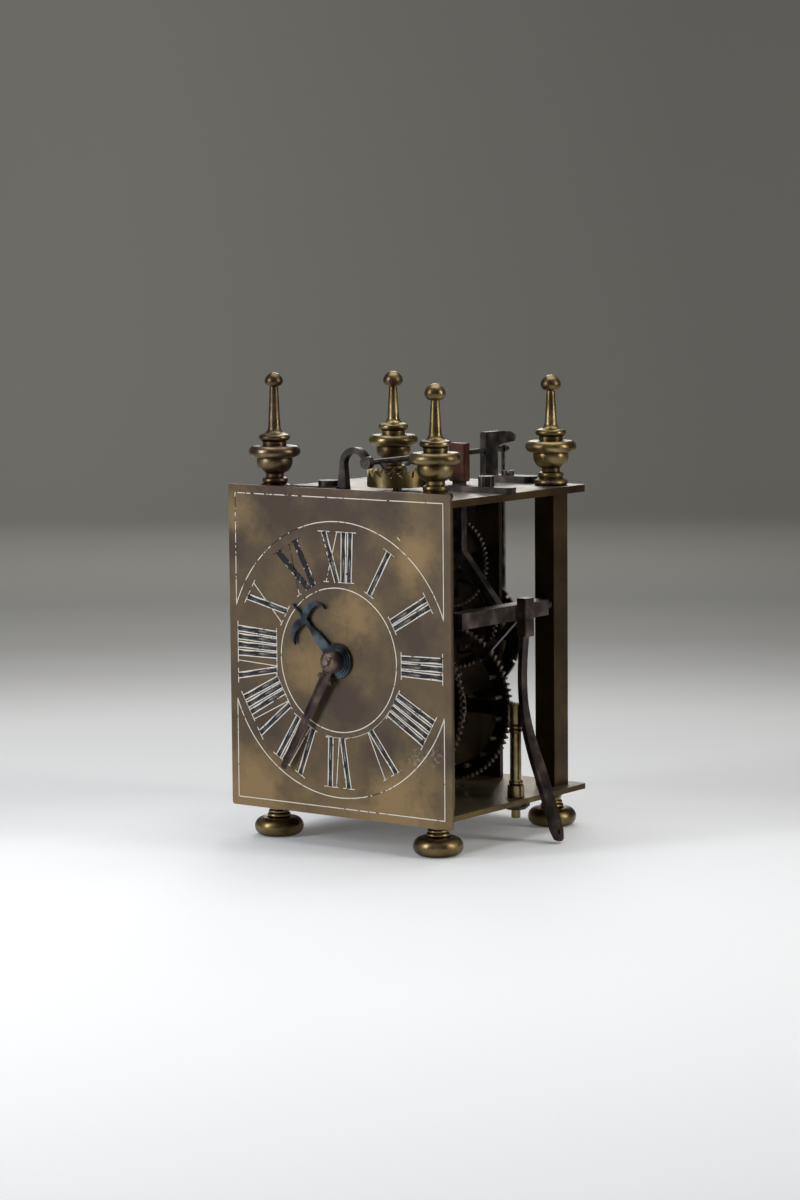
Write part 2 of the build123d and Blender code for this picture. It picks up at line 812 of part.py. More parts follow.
# ---------------------------------------------------------------- verge and pendulum
pallet_ring = crown_radius - crown_wall / 2
tooth_tip_z = top_plate_top + crown_lift + crown_skirt + crown_tooth_height
lowest_pallet_angle = math.radians(pallet_spread / 2 - verge_swing_degrees)
pallet_reach = verge_z - tooth_tip_z - pallet_clearance
corner_drop = pallet_thickness / 2 * math.sin(lowest_pallet_angle)
pallet_length = (pallet_reach - corner_drop) / math.cos(lowest_pallet_angle)


def verge():
    """The verge: a steel staff across the crown wheel with two pallets spread about straight down."""
    front = hook_y - cock_thickness / 2
    rear = pendulum_y + 4.0
    body = along_y(rod(verge_radius, rear - front), verge_offset, front, verge_z)
    for side in (-1, 1):
        flag = block(
            (-pallet_thickness / 2, pallet_thickness / 2),
            (-pallet_width / 2, pallet_width / 2),
            (-pallet_length, 0),
        )
        turn = side * pallet_spread / 2
        body += Pos(verge_offset, crown_y + side * pallet_ring, verge_z) * Rot(Y=turn) * flag
    nodes["verge_arbor"] = body

    # the pendulum rod is screwed to the staff by a flat eye
    eye = along_y(ring(2.4, verge_radius, 2.4), 0, -1.2, 0)
    stem = Pos(0, 0, -pendulum_length) * rod(pendulum_rod_radius, pendulum_length - 2.0)
    nodes["pendulum_rod"] = Pos(verge_offset, pendulum_y, verge_z) * (eye + stem)
    bob = turned([
        (0, -11),
        (bob_radius, -3, 2.1),
        (2.6, 12, 1.4),
        (1.6, 13),
        (0, 13),
    ]) - Pos(0, 0, -20) * rod(pendulum_rod_radius, 40)
    nodes["pendulum_bob"] = Pos(verge_offset, pendulum_y, verge_z - pendulum_length + 6) * bob


def hook_cock():
    """The front cock of the verge: a forged hook with a long foot on the top plate."""
    top = verge_z + 8.1
    outer = (verge_offset - hook_leg_x + 3.2) / 2
    middle = (verge_offset + hook_leg_x) / 2
    spring = top - outer
    leg = [
        (hook_leg_x - 3.6, top_plate_top),
        (hook_leg_x + 3.2, top_plate_top),
        (middle - outer + 3.2, spring),
        (middle - outer, spring),
    ]
    arch = Pos(middle, spring, 0) * ring(outer, outer - 3.2, cock_thickness)
    arch &= block((-plate_side, plate_side), (spring, top + 1), (0, cock_thickness))
    outline = prism(leg, cock_thickness) + arch
    outline += Pos(verge_offset, verge_z, 0) * rod(3.4, cock_thickness)
    # drawn in X and height, then stood up so that its thickness runs along Y
    body = Pos(0, hook_y + cock_thickness / 2, 0) * Rot(X=90) * outline
    half_foot = cock_foot_width / 2
    body += block(
        (hook_foot_end, hook_leg_x - 2.0),
        (hook_y - half_foot, hook_y + half_foot),
        (top_plate_top, top_plate_top + cock_foot_thickness),
    )
    body -= hole_along_y(verge_offset, verge_z, verge_radius + pivot_clearance)
    return body - Pos(*hook_screw, top_plate_top) * rod(screw_radius, 10)


def back_cock():
    """The back cock of the verge: an upright with a nose over the pendulum and a round-ended foot."""
    rear = back_cock_y + back_cock_depth
    top = verge_z + 10.5
    arm_base = top - back_arm_height
    side = [
        (back_cock_y, top_plate_top),
        (rear, top_plate_top),
        (rear, arm_base - 2.0),
        (rear + 2.0, arm_base),
        (back_arm_end - 1.5, arm_base + 1.2),
        (back_arm_end, arm_base + 3.0),
        (back_arm_end - 0.6, top - 3.0),
        (back_arm_end - 5.0, top - 0.8),
        (rear + 2.0, top),
        (back_cock_y + 1.0, top),
        (back_cock_y, top - 1.0),
    ]
    # drawn in depth and height, then turned so that its thickness runs along X
    body = Pos(verge_offset - cock_thickness / 2, 0, 0) * (Plane.YZ * prism(side, cock_thickness))
    x, y = back_screw
    half_foot = (back_cock_depth - 1.0) / 2
    foot_plan = block(
        (verge_offset, back_foot_end - half_foot),
        (y - half_foot, y + half_foot),
        (top_plate_top, top_plate_top + cock_foot_thickness),
    )
    foot_plan += Pos(back_foot_end - half_foot, y, top_plate_top) * rod(half_foot, cock_foot_thickness)
    body += foot_plan
    body -= hole_along_y(verge_offset, verge_z, verge_radius + pivot_clearance)
    return body - Pos(x, y, top_plate_top) * rod(screw_radius, 10)


def crown_cock():
    """The bracket on the middle bar that carries the foot of the crown wheel's arbor."""
    half = crown_cock_width / 2
    arm = block(
        (verge_offset - half, verge_offset + half),
        (crown_y, middle_bar_y),
        (crown_cock_base, crown_cock_top),
    )
    arm += Pos(verge_offset, crown_y, crown_cock_base) * rod(half, crown_cock_thickness)
    foot_plate = block(
        (verge_offset - half, verge_offset + half),
        (middle_bar_y - crown_cock_thickness, middle_bar_y),
        (crown_cock_base, crown_cock_top + crown_cock_rise),
    )
    body = arm + foot_plate
    pivot_bore = rod(pivot_radius + pivot_clearance, crown_cock_thickness)
    body -= Pos(verge_offset, crown_y, crown_cock_base) * pivot_bore
    screw_z = crown_cock_top + crown_cock_rise / 2
    return body - along_y(rod(screw_radius, 10), verge_offset, middle_bar_y - 5, screw_z)


def slotted_screw(head, height, shank):
    """A cheese-headed screw with a slot; the head's seat is at 0 and the shank points down."""
    body = rod(head, height) - block((-head, head), (-0.5, 0.5), (height - 1.0, height))
    return body + Pos(0, 0, -shank) * rod(screw_radius, shank)


def cock_screws():
    """The three screws that hold the cocks."""
    seat = top_plate_top + cock_foot_thickness
    shank = cock_foot_thickness + top_plate_thickness
    hook = Pos(*hook_screw, seat) * Rot(Z=30) * slotted_screw(hook_screw_head, 3.2, shank)
    back = Pos(*back_screw, seat) * Rot(Z=-50) * slotted_screw(back_screw_head, 2.6, shank)
    screw_z = crown_cock_top + crown_cock_rise / 2
    crown = slotted_screw(2.8, 2.0, crown_cock_thickness + bar_thickness)
    crown = Pos(verge_offset, middle_bar_y - crown_cock_thickness, screw_z) * Rot(X=90) * crown
    return [hook, back, crown]


def stop_bar():
    """The flat steel bar on the top plate beside the hammer."""
    half = stop_bar_width / 2
    body = block(
        (stop_bar_start, stop_bar_end),
        (stop_bar_y - half, stop_bar_y + half),
        (top_plate_top, top_plate_top + stop_bar_thickness),
    )
    body = chamfer(body.edges().group_by(Axis.X)[-1].filter_by(Axis.Z), 2.0)
    return body - Pos(*stop_screw, top_plate_top) * rod(screw_radius, stop_bar_thickness)


def stop_bar_screw():
    """The screw of the stop bar, with a head notched round its edge."""
    height = 5.6
    head = rod(stop_screw_head, height)
    for notch in range(10):
        head -= Rot(Z=36 * notch) * Pos(stop_screw_head + 0.3, 0, 0) * rod(0.9, height)
    shank = stop_bar_thickness + top_plate_thickness
    body = head + Pos(0, 0, -shank) * rod(screw_radius, shank)
    return Pos(*stop_screw, top_plate_top + stop_bar_thickness) * body


def banking_post():
    """The turned brass post that the hammer's strap rests against."""
    profile = [
        (0, -bottom_plate_thickness - 8.5),
        (stud_radius, -bottom_plate_thickness - 8.5),
        (stud_radius, 0),
        (post_base_radius, 0),
        (post_base_radius - 0.4, 6.4),
        (post_shaft_radius, 7.0),
        (post_shaft_radius + 0.2, 9.2, 0.7),
        (post_shaft_radius, 9.4),
        (post_shaft_radius, 35.6),
        (post_shaft_radius + 0.3, 37.8, 0.5),
        (post_shaft_radius, 38.0),
        (post_shaft_radius + 0.3, 40.0, 0.5),
        (post_shaft_radius, 40.2),
        (post_drum_radius, 40.8),
        (post_drum_radius, post_height - 1.2),
        (0, post_height, 0.25),
    ]
    return Pos(post_x, strap_y, bottom_plate_top) * turned(profile)


def banking_post_nut():
    """The thick round nut under the bottom plate that holds the post."""
    profile = [
        (stud_radius, 0),
        (7.8, 0),
        (7.8, -1.6),
        (5.6, -3.6, 0.5),
        (stud_radius, -3.6),
    ]
    edges = Polyline(*[(corner[0], 0, corner[1]) for corner in profile], close=True)
    return Pos(post_x, strap_y, bottom_plate_base) * revolve(make_face(edges), Axis.Z)


# ---------------------------------------------------------------- motion work and hands
def motion_work():
    """The gears behind the dial that turn the two hands, one above the other in three layers."""
    drive_turn = direction_between(going_axis, dial_axis)
    drive = wheel_blank(minute_gear_teeth, minute_module, motion_layer, drive_turn)
    drive += Pos(lifting_pin_circle, 0, -motion_layer) * rod(lifting_pin_radius, motion_layer)
    drive -= rod(pivot_radius, motion_layer)
    nodes["minute_drive_gear"] = at_axis(Pos(0, 0, first_layer) * drive, going_axis)

    half_step = 180 / minute_gear_teeth
    driven = wheel_blank(minute_gear_teeth, minute_module, motion_layer, drive_turn + 180 + half_step)
    driven -= rod(minute_arbor_radius, motion_layer)
    nodes["minute_gear"] = at_axis(Pos(0, 0, first_layer) * driven, dial_axis)

    staff = Pos(0, 0, minute_tip_y) * rod(minute_arbor_radius, front_bar_y - minute_tip_y)
    staff += Pos(0, 0, front_bar_y) * rod(pivot_radius, bar_thickness)
    leaves = pinion_blank(motion_pinion_leaves, motion_module, motion_layer, motion_angle)
    staff += Pos(0, 0, second_layer) * leaves
    staff -= Pos(0, 0, hand_pin_y) * Rot(Z=-45) * Rot(Y=90) * Pos(0, 0, -5) * rod(hand_pin_radius, 10)
    nodes["minute_arbor"] = at_axis(staff, dial_axis)

    away = motion_angle + 180
    large = wheel_blank(motion_wheel_teeth, motion_module, motion_layer, away)
    small = pinion_blank(hour_pinion_leaves, hour_module, motion_layer, away)
    neck = Pos(0, 0, third_layer + motion_layer) * rod(3.2, layer_gap)
    wheel = Pos(0, 0, second_layer) * large + Pos(0, 0, third_layer) * small + neck
    bore = motion_stud_radius + pivot_clearance
    wheel -= Pos(0, 0, third_layer) * rod(bore, second_layer + motion_layer - third_layer)
    nodes["motion_wheel"] = at_axis(wheel, motion_axis)

    stud = Pos(0, 0, third_layer) * rod(motion_stud_radius, front_bar_rear - third_layer)
    collar_start = second_layer + motion_layer + pivot_clearance
    stud += Pos(0, 0, collar_start) * rod(motion_stud_collar, front_bar_y - collar_start)
    nodes["motion_stud"] = at_axis(stud, motion_axis)

    pipe = Pos(0, 0, hour_hand_front) * rod(hour_pipe_radius, third_layer - hour_hand_front)
    hour = wheel_blank(hour_wheel_teeth, hour_module, motion_layer, motion_angle)
    hour = Pos(0, 0, third_layer) * hour + pipe
    bore = minute_arbor_radius + pivot_clearance
    hour -= Pos(0, 0, hour_hand_front) * rod(bore, third_layer + motion_layer - hour_hand_front)
    nodes["hour_wheel"] = at_axis(hour, dial_axis)


def hand_point(radius, degrees):
    """A point of a hand's outline, by its place on the dial: 0 right, 90 up."""
    return polar(radius, -degrees)


def hour_hand():
    """The hour hand: a forged shank with two horns and a thin tip, on a hub of three rings."""
    angle = hour_hand_angle
    shank = prism([
        hand_point(9.0, angle - 20),
        hand_point(17.0, angle - 9),
        hand_point(24.0, angle - 2.6),
        hand_point(29.0, angle - 3.2),
        hand_point(32.0, angle - 1.4),
        hand_point(hour_hand_length, angle - 0.5),
        hand_point(hour_hand_length, angle + 0.5),
        hand_point(32.0, angle + 1.4),
        hand_point(29.0, angle + 3.2),
        hand_point(24.0, angle + 2.6),
        hand_point(17.0, angle + 9),
        hand_point(9.0, angle + 20),
    ], hour_hand_thickness - 0.8)
    body = shank
    for side, tip, flare in ((-1, 31.4, 1.0), (1, 31.0, -0.5)):
        outer = Spline(
            hand_point(30.6, angle),
            hand_point(34.0 + flare, angle + side * 9),
            hand_point(33.6 + flare, angle + side * 19),
            hand_point(28.4, angle + side * tip),
        )
        inner = Spline(
            hand_point(28.4, angle + side * tip),
            hand_point(30.6 + flare, angle + side * 19),
            hand_point(29.6 + flare, angle + side * 10),
            hand_point(27.6, angle),
        )
        horn = make_face(outer + inner + Line(hand_point(27.6, angle), hand_point(30.6, angle)))
        body += extrude(horn, hour_hand_thickness - 0.8, dir=(0, 0, 1))
    body = Pos(0, 0, 0.8) * body
    step = hour_hand_thickness / 3
    hub = Pos(0, 0, 2 * step) * rod(hand_hub_radius, step)
    hub += Pos(0, 0, step) * rod(hand_hub_radius - 1.0, step)
    hub += rod(hand_hub_radius - 2.0, step)
    return at_axis(Pos(0, 0, hour_hand_front) * (body + hub - rod(hour_pipe_radius, 9)), dial_axis)


def minute_hand():
    """The minute hand: a ridged bar that tapers to its tip, with a thin crescent at its collar."""
    half_base, half_tip = 3.3, 1.7
    bar = Polyline(
        (9.0, -half_base, 0),
        (9.0, half_base, 0),
        (9.0, 0, -minute_hand_thickness / 2),
        close=True,
    )
    end = Polyline(
        (minute_hand_length, -half_tip, 0),
        (minute_hand_length, half_tip, 0),
        (minute_hand_length, 0, -minute_hand_thickness / 4),
        close=True,
    )
    body = Pos(0, 0, minute_hand_thickness / 2) * loft([make_face(bar), make_face(end)])
    spine = (0.5 * minute_hand_thickness, 0.75 * minute_hand_thickness)
    body += block((8.0, minute_hand_length), (-half_tip, half_tip), spine)
    body += Pos(0, 0, 0.2 * minute_hand_thickness) * (
        block((4.0, 11.0), (-2.9, 2.9), (0, 0.7 * minute_hand_thickness))
    )
    crescent = rod(13.6, 0.8) - Pos(-1.6, 0, 0) * rod(12.8, 0.8)
    crescent &= prism([(0, 0), polar(20, -24), polar(20, 24)], 0.8)
    body += Pos(0, 0, 0.5 * minute_hand_thickness) * crescent
    body += rod(6.2, minute_hand_thickness)
    body -= rod(minute_arbor_radius, minute_hand_thickness)
    return at_axis(Pos(0, 0, minute_hand_front) * Rot(Z=-minute_hand_angle) * body, dial_axis)


def hand_nut():
    """The domed nut that holds the hands."""
    profile = [
        (0, 0),
        (5.9, 0),
        (5.9, 1.4),
        (3.4, hand_nut_height, 0.7),
        (0, hand_nut_height),
    ]
    body = turned(profile) - rod(minute_arbor_radius, hand_nut_height)
    return at_axis(Pos(0, 0, minute_hand_front) * Rot(X=180) * body, dial_axis)


def hand_pin():
    """The taper pin across the end of the minute arbor."""
    pin = Pos(0, 0, -hand_pin_length / 2) * rod(hand_pin_radius, hand_pin_length)
    return at_axis(Pos(0, 0, hand_pin_y) * Rot(Z=-45) * Rot(Y=90) * pin, dial_axis)


# ---------------------------------------------------------------- strike train
def strike_train():
    """Great wheel with its hammer pins, hoop wheel, warning wheel and fly."""
    up = direction_between(strike_axis, hoop_axis)
    wheel = great_wheel(strike_great_teeth, strike_module, up, strike_great_y)
    pin = Pos(0, 0, strike_great_y - hammer_pin_length) * rod(hammer_pin_radius, hammer_pin_length)
    pin = pin + Pos(0, 0, strike_great_y) * rod(hammer_rivet_radius, great_wheel_thickness)
    hole = Pos(0, 0, strike_great_y) * rod(hammer_rivet_radius, great_wheel_thickness)
    step = 360 / hammer_pins
    places = [Rot(Z=step * (number + 0.5)) * Pos(hammer_pin_circle, 0, 0) for number in range(hammer_pins)]
    for place in places:
        wheel -= place * hole
    nodes["strike_great_wheel"] = at_axis(wheel, strike_axis)
    nodes["hammer_pins"] = Compound(children=[at_axis(place * pin, strike_axis) for place in places])

    down = direction_between(hoop_axis, strike_axis)
    to_count = direction_between(strike_axis, count_axis)
    report_depth = count_gear_thickness - running_gap
    report = pinion_blank(report_pinion_leaves, count_module, report_depth, to_count)
    report = Pos(0, 0, count_gear_y) * report
    tip = count_gear_y + count_gear_thickness
    nodes["strike_great_arbor"] = at_axis(train_arbor(strike_bars, rear_tip=tip), strike_axis)
    report -= rod(pivot_radius, tip)
    nodes["report_pinion"] = at_axis(report, strike_axis)
    pulley = Pos(0, 0, strike_great_y - click_gap) * Rot(X=180) * rope_pulley()
    nodes["strike_pulley"] = at_axis(pulley, strike_axis)
    click = Pos(0, 0, strike_great_y) * Rot(X=180) * ratchet_click(click_gap)
    nodes["strike_click"] = at_axis(click, strike_axis)

    leaves = pinion_at(hoop_pinion_leaves, strike_module, down, strike_great_y, great_wheel_thickness)
    nodes["hoop_arbor"] = at_axis(train_arbor(strike_bars) + leaves, hoop_axis)
    hoop = wheel_on_arbor(
        hoop_teeth, hoop_module, up, hoop_wheel_y, wheel_thickness, hoop_rim, hoop_hub, hoop_arm_width
    )
    band = ring(hoop_ring_radius, hoop_ring_radius - hoop_ring_wall, hoop_ring_depth)
    gap = block((0, 2 * hoop_ring_radius), (-hoop_ring_gap / 2, hoop_ring_gap / 2), (0, hoop_ring_depth))
    for turn in (0, 180):
        band -= Rot(Z=turn - locking_tip_angle) * gap
    hoop += Pos(0, 0, hoop_wheel_y + wheel_thickness) * band
    nodes["hoop_wheel"] = at_axis(hoop, hoop_axis)

    leaves = pinion_at(warning_pinion_leaves, hoop_module, down, hoop_wheel_y, wheel_thickness)
    nodes["warning_arbor"] = at_axis(train_arbor(strike_bars) + leaves, warning_axis)
    warning = wheel_on_arbor(
        warning_teeth, warning_module, up, warning_wheel_y, wheel_thickness, wheel_rim, wheel_hub, wheel_arm_width
    )
    pin = rod(warning_pin_radius, warning_pin_length)
    warning += Pos(0, warning_pin_circle, warning_wheel_y - warning_pin_length) * pin
    nodes["warning_wheel"] = at_axis(warning, warning_axis)

    leaves = pinion_at(fly_pinion_leaves, warning_module, down, warning_wheel_y, wheel_thickness)
    nodes["fly_arbor"] = at_axis(train_arbor(strike_bars) + leaves, fly_axis)
    half = fly_width / 2
    vane = block((-half, half), (-0.6, 0.6), (0, fly_length)) + rod(arbor_radius + 1.0, fly_length)
    vane -= rod(arbor_radius, fly_length)
    nodes["fly_vane"] = at_axis(Pos(0, 0, fly_y) * vane, fly_axis)


def count_wheel():
    """The count wheel behind the rear bar: a gear with a notched disc on its rear face."""
    down = direction_between(count_axis, strike_axis)
    body = wheel_blank(count_gear_teeth, count_module, count_gear_thickness, down)
    disc = rod(count_disc_radius, count_disc_thickness)
    # one notch after every group of strokes, 1 to 12, 78 strokes in a turn
    strokes_done = 0
    notch_half = math.radians(360 / 78) * count_disc_radius * 0.36
    for hour in range(1, 13):
        strokes_done += hour
        notch = block(
            (count_disc_radius - count_notch_depth, count_disc_radius + 1),
            (-notch_half, notch_half),
            (0, count_disc_thickness),
        )
        disc -= Rot(Z=360 / 78 * strokes_done - locking_count_angle) * notch
    body += Pos(0, 0, count_gear_thickness) * disc
    depth = count_gear_thickness + count_disc_thickness
    windows = ring(count_disc_radius - count_window_margin, count_hub, depth)
    for arm in range(4):
        spoke = block((0, count_disc_radius), (-count_arm_width / 2, count_arm_width / 2), (0, depth))
        windows -= Rot(Z=90 * arm) * spoke
    body -= windows
    body -= rod(count_stud_radius + pivot_clearance, 9)
    nodes["count_wheel"] = at_axis(Pos(0, 0, count_gear_y) * body, count_axis)

    length = count_gear_thickness + count_disc_thickness
    stud = Pos(0, 0, rear_bar_y) * rod(count_stud_radius, bar_thickness + count_gap + length + running_gap)
    stud += Pos(0, 0, rear_bar_rear) * rod(count_stud_radius + 1.4, count_gap - running_gap)
    stud += Pos(0, 0, count_gear_y + length + running_gap) * rod(count_stud_radius + 1.4, 1.2)
    nodes["count_stud"] = at_axis(stud, count_axis)


# ---------------------------------------------------------------- hammer
def swept_bar(path, widths, thickness):
    """A flat strip in the XZ plane: a centre path with a full thickness across it."""
    left, right = [], []
    for index, (x, z) in enumerate(path):
        before = path[max(index - 1, 0)]
        after = path[min(index + 1, len(path) - 1)]
        direction = Vector(after[0] - before[0], after[1] - before[1]).normalized()
        side = Vector(-direction.Y, direction.X) * (thickness / 2)
        left.append((x + side.X, z + side.Y))
        right.append((x - side.X, z - side.Y))
    outline = Spline(*left) + Line(left[-1], right[-1]) + Spline(*right[::-1]) + Line(right[0], left[0])
    return Rot(X=90) * Pos(0, 0, -widths / 2) * extrude(make_face(outline), widths, dir=(0, 0, 1))


def hammer_arbor():
    """The square hammer arbor with a knuckle for the strap and a tail into the wheel's pins."""
    x = hammer_axis_x
    z = hammer_axis_height
    half_height = hammer_bar_height / 2
    bar = block(
        (knuckle_x - hammer_bar_width, knuckle_x),
        (hammer_bar_front, hammer_bar_rear),
        (z - half_height, z + half_height),
    )
    bar = fillet(bar.edges().group_by(Axis.Y)[-1].filter_by(Axis.Z), 2.5)
    inner = pillar_offset - pillar_side / 2
    reach = inner + pillar_pivot_depth - shoulder
    body = bar + along_y(rod(pivot_radius, 2 * reach), x, -reach, z)
    body += along_y(rod(2.2, inner - shoulder - hammer_bar_rear), x, hammer_bar_rear, z)
    knuckle = block(
        (knuckle_x, knuckle_x + knuckle_width),
        (strap_y - knuckle_depth / 2, strap_y + knuckle_depth / 2),
        (knuckle_top_height - knuckle_height, knuckle_top_height),
    )
    knuckle = fillet(knuckle.edges().group_by(Axis.X)[-1].filter_by(Axis.Z), 1.5)
    for groove in (6.0, 12.0):
        level = knuckle_top_height - groove
        knuckle -= block((knuckle_x + knuckle_width - 0.7, 99), (-99, 99), (level - 0.5, level + 0.5))
    body += knuckle
    tail = prism([
        (x - 1.0, z + 2.0),
        (x - 1.0, z - 3.2),
        (hammer_tail_tip[0] + 3.0, hammer_tail_tip[1] - 1.0),
        hammer_tail_tip,
        (hammer_tail_tip[0] + 0.6, hammer_tail_tip[1] + 2.4),
    ], hammer_tail_thickness)
    body += Pos(0, hammer_tail_y + hammer_tail_thickness, 0) * Rot(X=90) * tail
    return body


def hammer_stem():
    """The hammer's shank, bent up through the slot in the top plate, with its block of a head."""
    half = hammer_stem_width / 2
    z = hammer_axis_height
    shank = prism([
        (hammer_stem_x - half, hammer_head_top - hammer_head_height),
        (hammer_stem_x - half, hammer_stem_bend_height - 2.0),
        (knuckle_x - hammer_bar_width, z + hammer_bar_height / 2 - 5.0),
        (knuckle_x - hammer_bar_width, z + hammer_bar_height / 2 - 0.4),
        (hammer_stem_x + half, hammer_stem_bend_height + 1.0),
        (hammer_stem_x + half, hammer_head_top - hammer_head_height),
    ], hammer_stem_thickness)
    body = Pos(0, hammer_stem_y + hammer_stem_thickness / 2, 0) * Rot(X=90) * shank
    half_head = hammer_head_width / 2
    head = block(
        (hammer_stem_x - half_head, hammer_stem_x + half_head),
        (hammer_stem_y - hammer_head_thickness / 2, hammer_stem_y + hammer_head_thickness / 2),
        (hammer_head_top - hammer_head_height, hammer_head_top),
    )
    return body + chamfer(head.edges(), 0.6)


def hammer_strap():
    """The long flat strap under the knuckle, which leans out past the post to a drilled tip."""
    knuckle_base = knuckle_top_height - knuckle_height
    rest = post_x + post_drum_radius + strap_thickness / 2
    path = [
        (knuckle_x + 3.0, knuckle_base + 6.0),
        (rest - 0.4, 92.0),
        (rest + 0.3, bottom_plate_top + post_height),
        (rest + 4.1, 57.0),
        (rest + 10.3, 40.0),
        (rest + 16.8, 22.0),
        (rest + 23.6, strap_tip_height),
    ]
    side = swept_bar(path, 4 * strap_blade_width, strap_thickness)
    neck, blade = strap_neck_width / 2, strap_blade_width / 2
    front_view = prism([
        (strap_y - neck, knuckle_base),
        (strap_y - neck, 75.0),
        (strap_y - blade, 42.0),
        (strap_y - blade, strap_tip_height + 6.0),
        (strap_y - 0.6 * blade, strap_tip_height + 1.2),
        (strap_y, strap_tip_height),
        (strap_y + 0.6 * blade, strap_tip_height + 1.2),
        (strap_y + blade, strap_tip_height + 6.0),
        (strap_y + blade, 42.0),
        (strap_y + neck, 75.0),
        (strap_y + neck, knuckle_base),
    ], 2 * plate_side)
    # drawn in depth and height, then turned so that it cuts across the whole strap
    body = (Pos(0, strap_y, 0) * side) & (Plane.YZ * front_view)
    hole = Rot(Y=90) * rod(strap_hole_radius, 2 * plate_side)
    return body - Pos(0, strap_y, strap_tip_height + 5.3) * hole


# ---------------------------------------------------------------- locking lever
def bent_rod(points, radius):
    """A round rod that runs through points, with a ball at every bend."""
    body = None
    for start, end in zip(points, points[1:]):
        run = Vector(*end) - Vector(*start)
        part = Plane(origin=start, z_dir=run) * rod(radius, run.length)
        part += Pos(*end) * Sphere(radius)
        body = part if body is None else body + part
    return body


def locking_lever():
    """The lever across the left pillars: a locking piece, a count finger and a lifting tail."""
    x, z = -pillar_offset, locking_axis_height
    inner = pillar_offset - pillar_side / 2
    reach = inner + pillar_pivot_depth - shoulder
    body = along_y(rod(pivot_radius, 2 * reach), x, -reach, z)
    body += along_y(rod(locking_rod_radius, 2 * (inner - shoulder)), x, -(inner - shoulder), z)
    r = locking_finger_radius
    hoop_y = hoop_wheel_y + wheel_thickness + hoop_ring_depth / 2
    body += bent_rod([(x, hoop_y, z), (locking_hoop_tip[0], hoop_y, locking_hoop_tip[1])], r)
    disc_y = count_gear_y + count_gear_thickness + count_disc_thickness / 2
    side = -36.0
    body += bent_rod([
        (x, inner - 3.0, z),
        (side, inner - 3.0, z - 3.0),
        (side, disc_y, z - 3.0),
        (locking_count_tip[0], disc_y, locking_count_tip[1]),
    ], r)
    tail_y = second_layer + motion_layer / 2
    knee = (-30.0, z - 7.0)
    front_arm = [(x, -inner + 3.0, z), (knee[0], -inner + 3.0, knee[1]), (knee[0], tail_y, knee[1])]
    body += bent_rod(front_arm, r)
    half = locking_tail_width / 2
    middle = (knee[1] + lifting_tip[1]) / 2
    tail = prism([
        (knee[0] - half, knee[1] + half),
        (knee[0] - half, knee[1] - half),
        (knee[0] + 5.0, middle - 4.4),
        (lifting_tip[0] - 2.0, lifting_tip[1] - half),
        (lifting_tip[0] + 2.0, lifting_tip[1] - half),
        (lifting_tip[0] + 2.0, lifting_tip[1] + half),
        (knee[0] + 7.0, middle - 1.8),
        (knee[0] + half, knee[1] + half),
    ], motion_layer)
    body += Pos(0, second_layer + motion_layer, 0) * Rot(X=90) * tail
    return body


# ---------------------------------------------------------------- the whole clock
nodes["bottom_plate"] = bottom_plate()
nodes["top_plate"] = top_plate()
nodes["pillars"] = Compound(children=pillars())
nodes["feet"] = Compound(children=[foot(x, y) for x, y in corners.values()])
slim_corner = corners["front_left"]
nodes["slim_finial"] = finial(*slim_corner, slim_finial_stem, slim_finial_ball)
others = [corner for corner in corners.values() if corner != slim_corner]
nodes["finials"] = Compound(children=[finial(x, y, finial_stem, finial_ball) for x, y in others])
nodes["dial_plate"] = dial_plate()

pivot_hole = pivot_radius + pivot_clearance
front_holes = [(going_axis, pivot_hole), (second_axis, pivot_hole), (contrate_axis, pivot_hole)]
front_holes += [(dial_axis, pivot_hole), (motion_axis, motion_stud_radius)]
middle_holes = [(axis, pivot_hole) for axis in (going_axis, second_axis, contrate_axis)]
middle_holes += [(axis, pivot_hole) for axis in (strike_axis, hoop_axis, warning_axis, fly_axis)]
middle_holes += [((verge_offset, crown_cock_top + crown_cock_rise / 2), screw_radius)]
rear_holes = [(axis, pivot_hole) for axis in (strike_axis, hoop_axis, warning_axis, fly_axis)]
rear_holes += [(count_axis, count_stud_radius)]
nodes["front_bar"] = movement_bar(front_bar_y, front_holes)
nodes["middle_bar"] = movement_bar(middle_bar_y, middle_holes)
nodes["rear_bar"] = movement_bar(rear_bar_y, rear_holes)

nodes["hook_cock"] = hook_cock()
nodes["back_cock"] = back_cock()
nodes["crown_cock"] = crown_cock()
nodes["cock_screws"] = Compound(children=cock_screws())
nodes["stop_bar"] = stop_bar()
nodes["stop_bar_screw"] = stop_bar_screw()
nodes["banking_post"] = banking_post()
nodes["banking_post_nut"] = banking_post_nut()

going_train()
crown_wheel_and_arbor()
verge()
motion_work()
nodes["hour_hand"] = hour_hand()
nodes["minute_hand"] = minute_hand()
nodes["hand_nut"] = hand_nut()
nodes["hand_pin"] = hand_pin()
strike_train()
count_wheel()
nodes["hammer_arbor"] = hammer_arbor()
nodes["hammer_stem"] = hammer_stem()
nodes["hammer_strap"] = hammer_strap()
nodes["locking_lever"] = locking_lever()

for name, shape in nodes.items():
    export_step(shape, os.path.join("parts", name + ".step"))
    solids = shape.solids()
    size = shape.bounding_box()
    print(name, len(solids), "solids", [round(value, 1) for value in (*size.min, *size.max)])
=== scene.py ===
# %% [markdown]
# # A small lantern clock
#
# The clock is a brass cage on four bun feet. A flat engraved dial hides its front, and two
# trains of wheels stand between three upright bars inside it. The solids come ready made from
# the CAD model, so this script dresses them: it lights them, gives each a finish, and cuts the
# numerals and lines of the dial.

# %% Load the model
import bpy
import json
import math
from mathutils import Euler, Matrix, Vector


